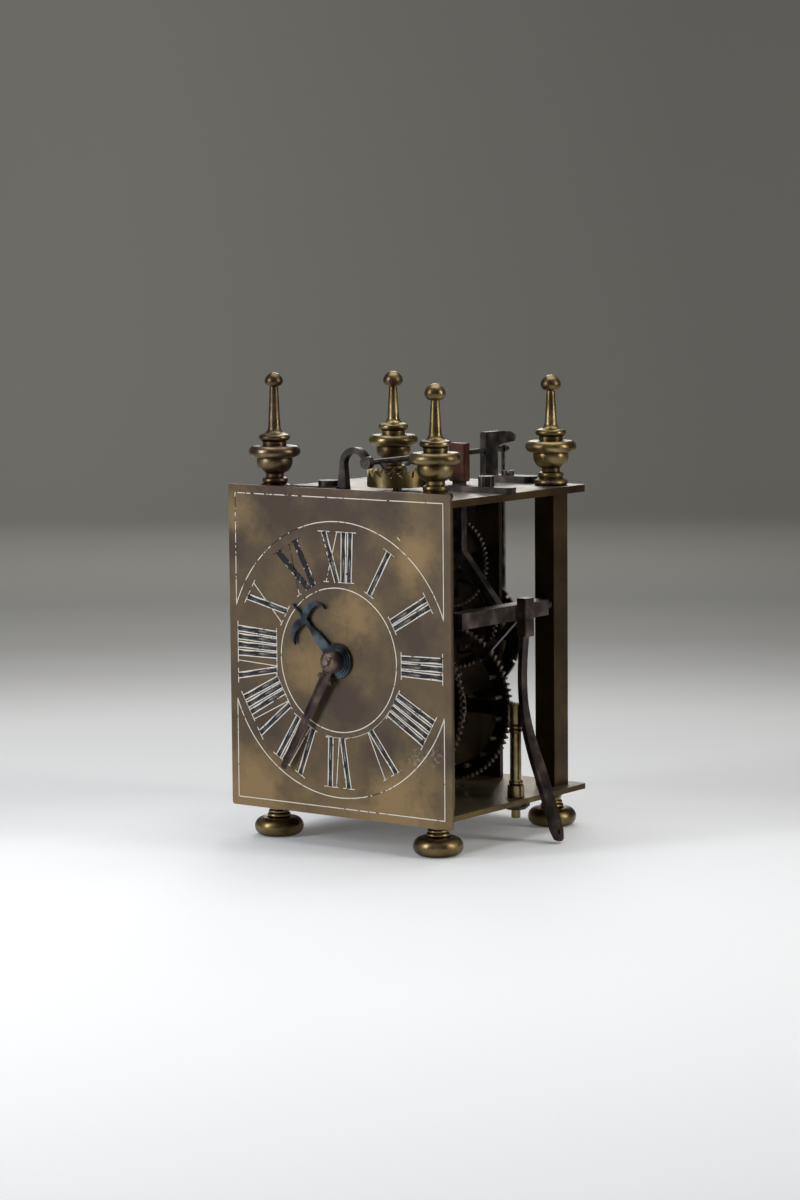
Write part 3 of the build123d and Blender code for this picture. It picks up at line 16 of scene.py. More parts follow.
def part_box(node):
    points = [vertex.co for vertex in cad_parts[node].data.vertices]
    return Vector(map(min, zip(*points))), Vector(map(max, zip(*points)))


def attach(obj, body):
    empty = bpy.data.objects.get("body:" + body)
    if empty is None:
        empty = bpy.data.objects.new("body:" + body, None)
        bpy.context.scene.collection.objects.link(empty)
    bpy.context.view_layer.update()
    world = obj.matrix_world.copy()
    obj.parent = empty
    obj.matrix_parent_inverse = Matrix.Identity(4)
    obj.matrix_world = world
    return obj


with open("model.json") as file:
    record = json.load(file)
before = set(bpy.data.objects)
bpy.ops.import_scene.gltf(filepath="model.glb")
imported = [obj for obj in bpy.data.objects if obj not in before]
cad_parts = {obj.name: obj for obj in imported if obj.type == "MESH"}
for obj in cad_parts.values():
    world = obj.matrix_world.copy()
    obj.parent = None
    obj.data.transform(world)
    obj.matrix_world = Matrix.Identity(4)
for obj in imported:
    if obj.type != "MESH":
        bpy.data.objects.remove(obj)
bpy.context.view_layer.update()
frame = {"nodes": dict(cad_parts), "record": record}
scene = bpy.context.scene

# %% [markdown]
# ## Helpers
#
# Colours are chosen as sRGB hex values, as a paint chart gives them, but Blender's shaders work
# in linear light, so one function converts them. A second function adds a shader node, sets it
# up, wires it and hands back its output, which keeps every material short enough to read as a
# recipe, from the pattern at the top to the shader at the bottom. A Mix node has one set of
# sockets for numbers, one for vectors and one for colours, all with the same names, so its
# colour sockets are picked by number.

# %% Colour and node helpers
MM = 0.001
MIX_FIRST = 6
MIX_SECOND = 7
MIX_RESULT = 2


def colour(hex_value):
    """An sRGB hex value as a linear colour with alpha."""
    channels = [int(hex_value[i:i + 2], 16) / 255 for i in (1, 3, 5)]
    linear = [c / 12.92 if c <= 0.04045 else ((c + 0.055) / 1.055) ** 2.4 for c in channels]
    return (*linear, 1.0)


def add(tree, kind, inputs=None, out=0, stops=(), **settings):
    """Adds a shader node and gives back one of its outputs.

    inputs fills the node's sockets: another node's output is wired in, anything else is set as
    the socket's value. stops are a colour ramp's positions and hex colours, in rising order.
    The material's last node has no output, so the node itself comes back.
    """
    node = tree.nodes.new("ShaderNode" + kind)
    for name, value in settings.items():
        setattr(node, name, value)
    for socket, value in (inputs or {}).items():
        if isinstance(value, bpy.types.NodeSocket):
            tree.links.new(value, node.inputs[socket])
        else:
            node.inputs[socket].default_value = value
    for index, (position, hex_value) in enumerate(stops):
        elements = node.color_ramp.elements
        element = elements[index] if index < len(elements) else elements.new(position)
        element.position = position
        element.color = colour(hex_value)
    return node.outputs[out] if node.outputs else node


def new_material(name):
    """An empty material, its node tree, and the coordinates of the piece that it is on."""
    material = bpy.data.materials.new(name)
    material.use_nodes = True
    tree = material.node_tree
    tree.nodes.clear()
    return material, tree, add(tree, "TexCoord", out="Object")


print("helpers ready")

# %% [markdown]
# ## Camera
#
# A long lens from a little above the clock, looking at the corner between the dial and its right
# side. A long lens stands far back, which keeps the uprights almost parallel, as in a catalogue
# picture. The camera could be aimed with a constraint, but plain angles are easier to reason about.

# %% Camera
camera_place = Vector((1.0783, -1.4625, 0.3364))
camera_pitch = math.radians(90 - 6.51)
camera_yaw = math.radians(36.66)
camera_roll = math.radians(-0.48)
focal_pixels = 3296.6
picture_height = 1200

bpy.ops.object.camera_add(location=camera_place)
camera = bpy.context.object
camera.name = "camera"
turn = Euler((camera_pitch, 0, camera_yaw)).to_matrix() @ Matrix.Rotation(camera_roll, 3, "Z")
camera.rotation_euler = turn.to_euler()
camera.data.lens = focal_pixels / picture_height * camera.data.sensor_width
scene.camera = camera
print("lens", round(camera.data.lens, 1), "mm")

# %% [markdown]
# ## Stage and light
#
# Metal shows what is around it, so the surroundings matter more here than for wood or cloth.
# The clock stands on paper that sweeps up into a round wall, so there is a background behind it
# from every side. A curved sheet could be modelled point by point. A disc whose rim is pulled up
# and whose edge is then bevelled is quicker, and its curve can be changed by one number. All the
# lengths are metres. The Standard view shows each colour as it is written.

# %% The studio
scene.view_settings.view_transform = "Standard"
studio_radius = 3.2
wall_height = 2.8
cove_radius = 1.2

bpy.ops.object.select_all(action="DESELECT")
bpy.ops.mesh.primitive_circle_add(vertices=96, radius=studio_radius, fill_type="NGON")
cyclorama = bpy.context.object
cyclorama.name = "cyclorama"
bpy.ops.object.mode_set(mode="EDIT")
bpy.ops.mesh.select_all(action="SELECT")
bpy.ops.mesh.extrude_region_move(TRANSFORM_OT_translate={"value": (0, 0, wall_height)})
bpy.ops.mesh.delete(type="ONLY_FACE")
bpy.ops.object.mode_set(mode="OBJECT")
cove = cyclorama.modifiers.new("cove", "BEVEL")
cove.width = cove_radius
cove.segments = 16
cove.limit_method = "ANGLE"
bpy.ops.object.modifier_apply(modifier=cove.name)
bpy.ops.object.shade_smooth()
print("cyclorama:", len(cyclorama.data.polygons), "faces")

# %% [markdown]
# The paper's colour holds a painted pool of light: white in front of the clock, falling away to
# grey with the distance from the pool's middle. The flat dial mirrors that: pale low down, and dark
# towards its top. The shades are listed against metres, and a second gradient, along the camera's
# left and right, is painted light too: it makes the left side lighter than the right.
# Lamps alone could draw the pool, but a painted one looks the same under any light. A little
# glow, which only the camera and the mirrored view see, keeps the white paper white without more
# light on the clock.

# %% The paper's colour, with painted light
painted_side_light_reach = 0.4
paper_glow = 0.12
painted_light_middle = Vector((0.24, -0.32, 0))
painted_light_reach = 4.0
painted_light_shades = (
    (0.00, "#F9FAFB"),
    (0.30, "#F1F2F3"),
    (0.43, "#E9EAEB"),
    (0.56, "#D2D3D3"),
    (0.85, "#C6C6C5"),
    (1.08, "#A2A19F"),
    (1.25, "#8C8B88"),
    (1.55, "#7E7D79"),
    (2.20, "#99978F"),
    (4.00, "#A8A69F"),
)
paper, tree, place = new_material("studio_paper_painted_light")
away = add(tree, "VectorMath", {0: place, 1: painted_light_middle}, out="Value", operation="DISTANCE")
away = add(tree, "Math", {0: away, 1: painted_light_reach}, operation="DIVIDE")
stops = [(metres / painted_light_reach, shade) for metres, shade in painted_light_shades]
# Painted light: white at the pool's middle, falling to grey with the distance from it.
grey = add(tree, "ValToRGB", {"Fac": away}, stops=stops)
# Painted light: the paper is lighter on the camera's left and darker on its right.
side_direction = Vector((math.cos(camera_yaw), math.sin(camera_yaw), 0))
across = add(tree, "VectorMath", {0: place, 1: side_direction}, out="Value", operation="DOT_PRODUCT")
across = add(tree, "MapRange", {
    "Value": across, "From Min": -painted_side_light_reach, "From Max": painted_side_light_reach, "To Min": 1.07, "To Max": 0.80,
})
grey = add(tree, "HueSaturation", {"Color": grey, "Value": across})
seen = add(tree, "LightPath", out="Is Camera Ray")
mirrored = add(tree, "LightPath", out="Is Glossy Ray")
glow = add(tree, "Math", {0: seen, 1: mirrored}, operation="ADD")
glow = add(tree, "Math", {0: glow, 1: paper_glow}, operation="MULTIPLY")
shader = add(tree, "BsdfPrincipled", {
    "Base Color": grey,
    "Roughness": 0.9,
    "Specular IOR Level": 0.2,
    "Emission Color": grey,
    "Emission Strength": glow,
})
add(tree, "OutputMaterial", {"Surface": shader})
cyclorama.data.materials.append(paper)

studio = bpy.data.worlds.new("studio")
scene.world = studio
studio.use_nodes = True
studio.node_tree.nodes["Background"].inputs["Color"].default_value = colour("#B9BCC0")
studio.node_tree.nodes["Background"].inputs["Strength"].default_value = 0.5
print("paper ready")

# %% [markdown]
# Two tall softboxes, one on each side of the camera, put the twin highlights on every turned
# ball. A weak one behind the clock draws its rear edges, and a wide one overhead whitens the
# paper and the tops of the plates. Each is an area lamp, placed by its angle round the clock and
# turned to its middle.

# %% Softboxes
lamp_target = Vector((0, 0, 0.12))


def softbox(name, azimuth, distance, height, size, power, tint):
    """A lamp at an azimuth, in degrees from the front of the clock towards its right."""
    turn = math.radians(azimuth)
    location = Vector((math.sin(turn) * distance, -math.cos(turn) * distance, height))
    bpy.ops.object.light_add(type="AREA", location=location)
    lamp = bpy.context.object
    lamp.name = name
    lamp.data.shape = "RECTANGLE"
    lamp.data.size, lamp.data.size_y = size
    lamp.data.energy = power
    lamp.data.color = colour(tint)[:3]
    aim = lamp_target - location
    lamp.rotation_euler = aim.to_track_quat("-Z", "Y").to_euler()


softbox("left_softbox", -26, 1.35, 0.62, (0.35, 0.9), 10, "#F6F8FF")
softbox("right_softbox", 104, 1.35, 0.62, (0.3, 0.9), 8, "#FFFAF2")
softbox("rear_softbox", 215, 1.5, 0.9, (0.5, 0.7), 5, "#FFFFFF")
softbox("overhead_softbox", 200, 0.25, 1.5, (1.3, 1.3), 14, "#FFFFFF")

# %% [markdown]
# ## Sheet brass
#
# Old brass isn't one colour. The plates and pillars were cast, hammered flat, filed and scraped,
# and have gone brown and olive, with small dark spots. File marks run upright. The plates' upper
# faces carry a pale film, partly dust and dried polish and partly a painted sheen, which the
# shader finds by the way a face points, so it stays on the faces that look up. The low plate sits
# in the cage's shade and gets less of it, as painted shade. The three bars between the plates are
# nearly black, as painted shade for the inside of the cage.

# %% Sheet brass
file_marks = Vector((2.6, 2.6, 0.06)) / MM  # per metre, so each is 0.4 mm wide and 17 mm long


def sheet_brass(name, shades, dust_and_sheen):
    """Filed sheet brass. The last argument (0 to 1) sets the pale dirt and painted sheen on what faces
    up.
    """
    low, middle, high = shades
    material, tree, place = new_material(name)
    cloud = add(tree, "TexNoise", {"Vector": place, "Scale": 1 / (45 * MM), "Detail": 4.0})
    patina = add(tree, "ValToRGB", {"Fac": cloud}, stops=((0.32, low), (0.5, middle), (0.68, high)))
    spot = add(tree, "TexNoise", {"Vector": place, "Scale": 1 / (2.5 * MM), "Detail": 3.0})
    spot = add(tree, "MapRange", {"Value": spot, "From Min": 0.60, "From Max": 0.72, "To Max": 0.7})
    patina = add(
        tree, "Mix", {"Factor": spot, MIX_FIRST: patina, MIX_SECOND: colour("#2E2419")},
        out=MIX_RESULT, data_type="RGBA",
    )
    # Pale film on the faces that look up: partly dust, partly a painted sheen.
    facing = add(tree, "NewGeometry", out="Normal")
    facing = add(tree, "SeparateXYZ", {"Vector": facing}, out="Z")
    dust_and_sheen_mask = add(tree, "TexNoise", {"Vector": place, "Scale": 1 / (18 * MM), "Detail": 6.0})
    dust_and_sheen_mask = add(tree, "Math", {0: facing, 1: dust_and_sheen_mask}, operation="MULTIPLY")
    dust_and_sheen_mask = add(tree, "MapRange", {"Value": dust_and_sheen_mask, "From Min": 0.15, "From Max": 0.75, "To Max": dust_and_sheen})
    patina = add(
        tree, "Mix", {"Factor": dust_and_sheen_mask, MIX_FIRST: patina, MIX_SECOND: colour("#A8A49A")},
        out=MIX_RESULT, data_type="RGBA",
    )
    bare = add(tree, "Math", {0: spot, 1: dust_and_sheen_mask}, operation="MAXIMUM")
    bare = add(tree, "MapRange", {"Value": bare, "To Min": 0.95, "To Max": 0.4})
    stroke = add(tree, "Mapping", {"Vector": place, "Scale": file_marks})
    marks = add(tree, "TexNoise", {"Vector": stroke, "Scale": 1.0, "Detail": 3.0})
    gloss = add(tree, "MapRange", {
        "Value": marks, "From Min": 0.3, "From Max": 0.7, "To Min": 0.34, "To Max": 0.5,
    })
    bump = add(tree, "Bump", {"Height": marks, "Strength": 0.25, "Distance": 0.05 * MM})
    shader = add(
        tree, "BsdfPrincipled",
        {"Base Color": patina, "Metallic": bare, "Roughness": gloss, "Normal": bump},
    )
    add(tree, "OutputMaterial", {"Surface": shader})
    return material


plate_shades = ("#3A2E1E", "#564629", "#70603C")
# Painted shade: nearly black brass for the bars, the crown cock and the fly inside the cage.
bar_painted_shades = ("#1B1611", "#2B2219", "#40341F")
aged_brass = sheet_brass("aged_sheet_brass", plate_shades, 0.6)
# The low plate's copy has half the pale film: less painted sheen, as it sits in the cage's shade.
shaded_brass = sheet_brass("aged_sheet_brass_low", plate_shades, 0.3)
bar_brass_in_painted_shade = sheet_brass("bar_brass_painted_shade", bar_painted_shades, 0.0)
print("made", aged_brass.name, "and", bar_brass_in_painted_shade.name)

# %% [markdown]
# ## The dial's brass
#
# The dial was scraped flat and stoned, then lived for centuries with hands wiping over it. Where
# fingers and cloths reach it is golden, at its corners and round its middle. Elsewhere it has
# oxidised to a purple-brown, most of all along its top and below its middle. Low on the right
# it is scuffed pale. Those places are soft spots in the shader, each a distance from a point on
# the dial, broken up by a cloudy noise so that no edge looks drawn. They could be painted on an
# image instead, but a distance needs no image and stays sharp at any size. Fine brush lines run
# upright.

# %% Dial brass
dial_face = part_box("dial_plate")[0].y
joints = {joint["name"]: joint for joint in frame["record"]["behaviour"]["joints"]}
dial_middle_height = joints["hour_spin"]["pos_m"][2]
brush_lines = Vector((1.8, 1.8, 0.04)) / MM  # per metre, so each is 0.6 mm wide and 25 mm long
golden_spots = (
    (-66, 178, 22), (50, 160, 26), (12, 126, 26), (-62, 28, 34), (40, 26, 36), (-20, 98, 24),
)
oxide_spots = (
    (-40, 186, 34), (0, 178, 34), (34, 188, 22), (6, 78, 26), (52, 122, 22), (-48, 64, 20),
    (28, 58, 20), (-4, 150, 18), (72, 60, 16), (-74, 160, 16),
)
scuffed_spots = ((64, 57, 9), (53, 54, 10))


def spotted(tree, place, spots):
    """1 inside any of the soft round spots (x, height, reach) in mm, and 0 away from them."""
    total = None
    for x, height, reach in spots:
        point = (x * MM, dial_face, height * MM)
        away = add(tree, "VectorMath", {0: place, 1: point}, out="Value", operation="DISTANCE")
        near = add(
            tree, "MapRange", {"Value": away, "From Min": reach * MM, "From Max": 0.0},
            interpolation_type="SMOOTHSTEP",
        )
        total = near if total is None else add(tree, "Math", {0: total, 1: near}, operation="MAXIMUM")
    return total


dial_brass, tree, place = new_material("scraped_dial_brass")
cloud = add(tree, "TexNoise", {
    "Vector": place, "Scale": 1 / (19 * MM), "Detail": 9.0, "Roughness": 0.70,
})
cloud = add(tree, "MapRange", {
    "Value": cloud, "From Min": 0.3, "From Max": 0.7, "To Min": -0.4, "To Max": 0.4,
})
gold = spotted(tree, place, golden_spots)
gold = add(tree, "Math", {0: gold, 1: cloud}, operation="ADD", use_clamp=True)
oxide = spotted(tree, place, oxide_spots)
oxide = add(tree, "Math", {0: oxide, 1: cloud}, operation="SUBTRACT", use_clamp=True)
balance = add(tree, "Math", {0: gold, 1: oxide}, operation="SUBTRACT")
height = add(tree, "SeparateXYZ", {"Vector": place}, out="Z")
# The dial is lighter along its bottom and darker above it.
paler_share = add(tree, "MapRange", {
    "Value": height, "From Min": 20 * MM, "From Max": 60 * MM, "To Min": 0.35, "To Max": -0.25,
})
balance = add(tree, "Math", {0: balance, 1: paler_share}, operation="ADD")
balance = add(tree, "MapRange", {"Value": balance, "From Min": -1.0, "From Max": 1.0})
tan = add(tree, "ValToRGB", {"Fac": balance}, stops=(
    (0.0, "#493D32"), (0.3, "#574A3B"), (0.5, "#655640"), (0.7, "#766448"), (1.0, "#897352"),
))
speck = add(tree, "TexNoise", {"Vector": place, "Scale": 1 / (1.4 * MM), "Detail": 4.0})
speck = add(tree, "MapRange", {"Value": speck, "From Min": 0.62, "From Max": 0.74, "To Max": 0.55})
tan = add(
    tree, "Mix", {"Factor": speck, MIX_FIRST: tan, MIX_SECOND: colour("#3B3029")},
    out=MIX_RESULT, data_type="RGBA",
)
scuff = add(tree, "TexNoise", {"Vector": place, "Scale": 1 / (2 * MM), "Detail": 5.0, "Roughness": 0.7})
scuff = add(tree, "MapRange", {"Value": scuff, "From Min": 0.5, "From Max": 0.62, "To Max": 0.5})
scuff = add(tree, "Math", {0: scuff, 1: spotted(tree, place, scuffed_spots)}, operation="MULTIPLY")
tan = add(
    tree, "Mix", {"Factor": scuff, MIX_FIRST: tan, MIX_SECOND: colour("#B3A290")},
    out=MIX_RESULT, data_type="RGBA",
)
bare = add(tree, "MapRange", {"Value": balance, "To Min": 0.65, "To Max": 0.9})
stroke = add(tree, "Mapping", {"Vector": place, "Scale": brush_lines})
brush = add(tree, "TexNoise", {"Vector": stroke, "Scale": 1.0, "Detail": 4.0})
gloss = add(tree, "MapRange", {
    "Value": brush, "From Min": 0.3, "From Max": 0.7, "To Min": 0.36, "To Max": 0.52,
})
bump = add(tree, "Bump", {"Height": brush, "Strength": 0.22, "Distance": 0.05 * MM})
shader = add(
    tree, "BsdfPrincipled",
    {"Base Color": tan, "Metallic": bare, "Roughness": gloss, "Normal": bump},
)
add(tree, "OutputMaterial", {"Surface": shader})
print("made", dial_brass.name, "for a dial whose middle is at", round(dial_middle_height / MM, 1), "mm")

# %% [markdown]
# ## Turned brass
#
# The finials, feet and posts were cast, turned in a lathe and burnished, so they are smooth
# enough to mirror the lamps. The lathe leaves faint level rings. Brass darkens in patches, and
# the grooves are darker, which the shader finds by ambient occlusion being low there, at a
# reach of a few millimetres. One finial is browner than the others, from smoke.

# %% Turned brass
groove_reach = 4 * MM
lathe_rings = Vector((0.06, 0.06, 2.4)) / MM  # per metre, so each is 0.4 mm high


def turned_finish(name, shades):
    """Lathe-turned and burnished brass with level rings, brown patches and darker grooves."""
    low, middle, high = shades
    material, tree, place = new_material(name)
    cloud = add(tree, "TexNoise", {"Vector": place, "Scale": 1 / (14 * MM), "Detail": 4.0})
    patina = add(tree, "ValToRGB", {"Fac": cloud}, stops=((0.34, low), (0.52, middle), (0.66, high)))
    groove = add(tree, "AmbientOcclusion", {"Distance": groove_reach}, out="AO", samples=6)
    groove = add(tree, "MapRange", {"Value": groove, "From Min": 0.25, "From Max": 0.65})
    patina = add(
        tree, "Mix", {"Factor": groove, MIX_FIRST: colour("#2A2018"), MIX_SECOND: patina},
        out=MIX_RESULT, data_type="RGBA",
    )
    wear = add(tree, "TexNoise", {"Vector": place, "Scale": 1 / (6 * MM), "Detail": 3.0})
    gloss = add(tree, "MapRange", {
        "Value": wear, "From Min": 0.35, "From Max": 0.65, "To Min": 0.26, "To Max": 0.44,
    })
    level = add(tree, "Mapping", {"Vector": place, "Scale": lathe_rings})
    rings = add(tree, "TexNoise", {"Vector": level, "Scale": 1.0, "Detail": 2.0})
    bump = add(tree, "Bump", {"Height": rings, "Strength": 0.2, "Distance": 0.04 * MM})
    shader = add(
        tree, "BsdfPrincipled",
        {"Base Color": patina, "Metallic": 1.0, "Roughness": gloss, "Normal": bump},
    )
    add(tree, "OutputMaterial", {"Surface": shader})
    return material


turned_brass = turned_finish("turned_burnished_brass", ("#554830", "#7B6B48", "#998864"))
smoked_brass = turned_finish("turned_smoked_brass", ("#453A2D", "#655641", "#85735A"))
print("made", turned_brass.name, "and", smoked_brass.name)

# %% [markdown]
# ## Wheel brass
#
# A wheel is cut from cast and hammered plate. Its faces carry rings from the lathe. Its brass is
# nearly black, as painted shade for the inside of the cage, and its teeth are painted paler than
# the rest, as a highlight. One material can't know where each wheel's axis is, so every wheel
# gets the recipe with its own axis and tooth radius, both read from the wheel's box. Pulleys and
# pinions take the same recipe.

# %% Wheels
ring_spacing = 0.6 * MM


def wheel_finish(node_name):
    """Brass in painted shade, lathe rings about its axis, and teeth painted paler as a highlight."""
    low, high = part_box(node_name)
    middle = (low + high) / 2
    radius = (high.x - low.x) / 2
    material, tree, place = new_material("brass_of_" + node_name)
    cloud = add(tree, "TexNoise", {"Vector": place, "Scale": 1 / (16 * MM), "Detail": 4.0})
    # Painted shade: nearly black brass for the inside of the cage.
    patina = add(tree, "ValToRGB", {"Fac": cloud}, stops=(
        (0.32, "#1E1812"), (0.52, "#33291D"), (0.68, "#4C3D2A"),
    ))
    offset = add(tree, "VectorMath", {0: place, 1: middle}, operation="SUBTRACT")
    offset = add(tree, "VectorMath", {0: offset, 1: (1, 0, 1)}, operation="MULTIPLY")
    from_axis = add(tree, "VectorMath", {0: offset}, out="Value", operation="LENGTH")
    # Painted highlight: the teeth are paler than the rest of the wheel.
    paler_share = add(
        tree, "MapRange",
        {"Value": from_axis, "From Min": radius * 0.94, "From Max": radius * 0.99, "To Max": 0.8},
    )
    patina = add(
        tree, "Mix", {"Factor": paler_share, MIX_FIRST: patina, MIX_SECOND: colour("#7E7566")},
        out=MIX_RESULT, data_type="RGBA",
    )
    phase = add(tree, "Math", {0: from_axis, 1: math.tau / ring_spacing}, operation="MULTIPLY")
    rings = add(tree, "Math", {0: phase}, operation="SINE")
    bump = add(tree, "Bump", {"Height": rings, "Strength": 0.12, "Distance": 0.03 * MM})
    gloss = add(tree, "MapRange", {
        "Value": cloud, "From Min": 0.3, "From Max": 0.7, "To Min": 0.36, "To Max": 0.52,
    })
    shader = add(
        tree, "BsdfPrincipled",
        {"Base Color": patina, "Metallic": 0.9, "Roughness": gloss, "Normal": bump},
    )
    add(tree, "OutputMaterial", {"Surface": shader})
    return material


wheels = [
    "going_great_wheel", "second_wheel", "contrate_wheel",
    "strike_great_wheel", "hoop_wheel", "warning_wheel", "count_wheel",
    "minute_drive_gear", "minute_gear", "motion_wheel", "hour_wheel",
    "going_pulley", "strike_pulley", "report_pinion",
]
finishes = {name: wheel_finish(name) for name in wheels}
print("made", len(finishes), "wheel finishes")

# %% [markdown]
# ## Iron and steel
#
# The cocks, the hammer and the levers are forged iron: hammered while hot, so the surface is a
# field of shallow dents a few millimetres wide under a skin of purple-brown oxide. The arbors
# are filed and polished steel. The hands were blued by heat. The hour hand is still grey-blue,
# and the long one has gone back to brown. The copper nut that holds them has dented and browned
# in the same way, so it takes the same recipe. The hammer's head stands in the open air over the
# top plate and has rusted red there. All of them differ only in shades, dents and gloss.

# %% Forged iron
rust_stops = ((0.32, "#38211A"), (0.5, "#4C2F25"), (0.70, "#653F31"))
rust_fade = 8 * MM


def iron_finish(name, shades, dent_mm, gloss_low, gloss_high, rust_above=None):
    """Hand-forged iron: dents, oxide clouds and brighter worn spots, rusted above a height."""
    dark, middle, light = shades
    material, tree, place = new_material(name)
    cloud = add(tree, "TexNoise", {"Vector": place, "Scale": 1 / (9 * MM), "Detail": 4.0})
    oxide = add(tree, "ValToRGB", {"Fac": cloud}, stops=((0.32, dark), (0.5, middle), (0.70, light)))
    if rust_above is not None:
        rust = add(tree, "ValToRGB", {"Fac": cloud}, stops=rust_stops)
        height = add(tree, "SeparateXYZ", {"Vector": place}, out="Z")
        rusted = add(tree, "MapRange", {
            "Value": height, "From Min": rust_above, "From Max": rust_above + rust_fade,
        })
        oxide = add(
            tree, "Mix", {"Factor": rusted, MIX_FIRST: oxide, MIX_SECOND: rust},
            out=MIX_RESULT, data_type="RGBA",
        )
    dents = add(
        tree, "TexVoronoi", {"Vector": place, "Scale": 1 / (dent_mm * MM)}, feature="SMOOTH_F1",
    )
    grit = add(tree, "TexNoise", {"Vector": place, "Scale": 1 / (0.7 * MM), "Detail": 3.0})
    skin = add(tree, "Math", {0: dents, 1: grit}, operation="ADD")
    bump = add(tree, "Bump", {"Height": skin, "Strength": 0.35, "Distance": 0.18 * MM})
    gloss = add(
        tree, "MapRange",
        {"Value": cloud, "From Min": 0.3, "From Max": 0.7, "To Min": gloss_low, "To Max": gloss_high},
    )
    shader = add(
        tree, "BsdfPrincipled",
        {"Base Color": oxide, "Metallic": 0.8, "Roughness": gloss, "Normal": bump},
    )
    add(tree, "OutputMaterial", {"Surface": shader})
    return material


forged_iron = iron_finish("forged_iron_with_oxide", ("#24211F", "#3B3633", "#5F5650"), 3.5, 0.30, 0.48)
# The strap and its arbor take a lighter copy of the forged iron, as a painted highlight.
strap_iron = iron_finish("forged_iron_painted_highlight", ("#2C2523", "#443A36", "#675A52"), 4.5, 0.28, 0.46)
steel_arbor = iron_finish("filed_arbor_steel", ("#38342F", "#5A554E", "#857F76"), 6.0, 0.24, 0.42)
blued_steel = iron_finish("faded_blued_steel", ("#1C2125", "#30393F", "#505C63"), 7.0, 0.22, 0.42)
browned_steel = iron_finish("browned_steel", ("#2A2322", "#403634", "#64564C"), 7.0, 0.26, 0.44)
copper_nut = iron_finish("turned_copper_alloy", ("#382F2A", "#574840", "#776357"), 4.0, 0.34, 0.52)
rust_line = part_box("top_plate")[1].z + 0.5 * MM
hammer_iron = iron_finish(
    "forged_iron_rusted_above", ("#2A2625", "#433D3A", "#68605A"), 3.5, 0.36, 0.52, rust_above=rust_line,
)
print("made seven iron, steel and copper finishes, rusted above", round(rust_line / MM, 1), "mm")

# %% [markdown]
# ## Give each solid its finish
#
# The record says which material slot each solid belongs to. Most solids take their slot's
# finish, and the rest take one of their own: every wheel, the finial at the front left, which
# is browner than its brothers, the low plate with less painted sheen, the bars darkened as painted
# shade, the strap and its arbor, lighter as a painted highlight, the hammer with its rusty head,
# and the long hand without its blue.

# %% Dress the solids
slot_finish = {
    "aged_brass": aged_brass,
    "turned_brass": turned_brass,
    "dial_brass": dial_brass,
    "wheel_brass": aged_brass,
    "forged_iron": forged_iron,
    "steel_arbor": steel_arbor,
    "blued_steel": blued_steel,
    "copper_nut": copper_nut,
}
finishes.update({
    "slim_finial": smoked_brass,
    "bottom_plate": shaded_brass,
    "front_bar": bar_brass_in_painted_shade,
    "middle_bar": bar_brass_in_painted_shade,
    "rear_bar": bar_brass_in_painted_shade,
    "crown_cock": bar_brass_in_painted_shade,
    "fly_vane": bar_brass_in_painted_shade,
    "crown_wheel": turned_brass,
    "pendulum_bob": turned_brass,
    "hammer_strap": strap_iron,
    "hammer_arbor": strap_iron,
    "hammer_stem": hammer_iron,
    "minute_hand": browned_steel,
    "verge_arbor": forged_iron,
})
for part in frame["record"]["subparts"]:
    solid = frame["nodes"][part["node"]]
    solid.data.materials.clear()
    solid.data.materials.append(finishes.get(part["node"], slot_finish[part["material_slot"]]))

# %% [markdown]
# ## The engraving
#
# A dial like this is cut by hand with a graver, then the cuts are filled with wax. Broad strokes
# are outlined and hatched, fine ones are a single cut. The cuts could be carved into the dial
# plate with a boolean, but they are hair-thin next to its size, so each is a strip of its own,
# a few hundredths of a millimetre proud, as wax that fills a cut stands. A grid primitive makes
# one strip. It is sized, turned to run from its start to its end, and put on the dial's face.
# It has more than one step along its length, so that its edges can wander later.

# %% A strip from one point to another
wax_proud = 0.05 * MM


def on_dial(radius_mm, hour_angle):
    """The point at a radius and a clock angle in degrees, as (x, height) in metres."""
    turn = math.radians(hour_angle)
    return Vector((math.sin(turn), math.cos(turn))) * radius_mm * MM + Vector((0, dial_middle_height))


def strip(start, end, width_mm, steps=8):
    """A flat strip on the dial between two (x, height) points."""
    along = end - start
    middle = (start + end) / 2
    lean = math.atan2(along.x, along.y)
    bpy.ops.object.select_all(action="DESELECT")
    bpy.ops.mesh.primitive_grid_add(x_subdivisions=2, y_subdivisions=steps, size=1)
    bpy.ops.object.mode_set(mode="EDIT")
    bpy.ops.transform.resize(value=(width_mm * MM, along.length, 1))
    bpy.ops.object.mode_set(mode="OBJECT")
    piece = bpy.context.object
    upright = Matrix.Rotation(lean, 4, "Y") @ Matrix.Rotation(math.radians(90), 4, "X")
    piece.matrix_world = Matrix.Translation((middle.x, dial_face, middle.y)) @ upright
    bpy.ops.object.transform_apply()
    return piece


print("dial face at", round(dial_face / MM, 2), "mm")

# %% [markdown]
# ## The numerals
#
# The numerals stand radially with their feet to the middle, four is cut as IIII and nine as
# VIIII. Broad strokes are 3.6 mm wide and fine ones about half a millimetre, and most of them
# end in a short cut across, the serif. Text in a font could be bent round the ring, but no font
# has these hand-set shapes. So every letter is given as strokes between places on the inner and
# outer line of the numeral ring, measured clockwise in millimetres from the numeral's middle.

# %% Numerals
numeral_inner = 42.3
numeral_outer = 69.5
numeral_middle = (numeral_inner + numeral_outer) / 2
outward_flare = 0.14
broad_width = 3.6
fine_width = 0.45
letter_width = {"I": 4.2, "V": 11.8, "X": 12.6}
v_spread = 4.0
v_broad_foot = -0.4
v_fine_foot = 1.8
x_spread = 4.2
x_foot = 4.0
serif_overhang = 1.9
serif_reach = 1.4
numerals = ["XII", "I", "II", "III", "IIII", "V", "VI", "VII", "VIII", "VIIII", "X", "XI"]
broad_strips = []
fine_strips = []


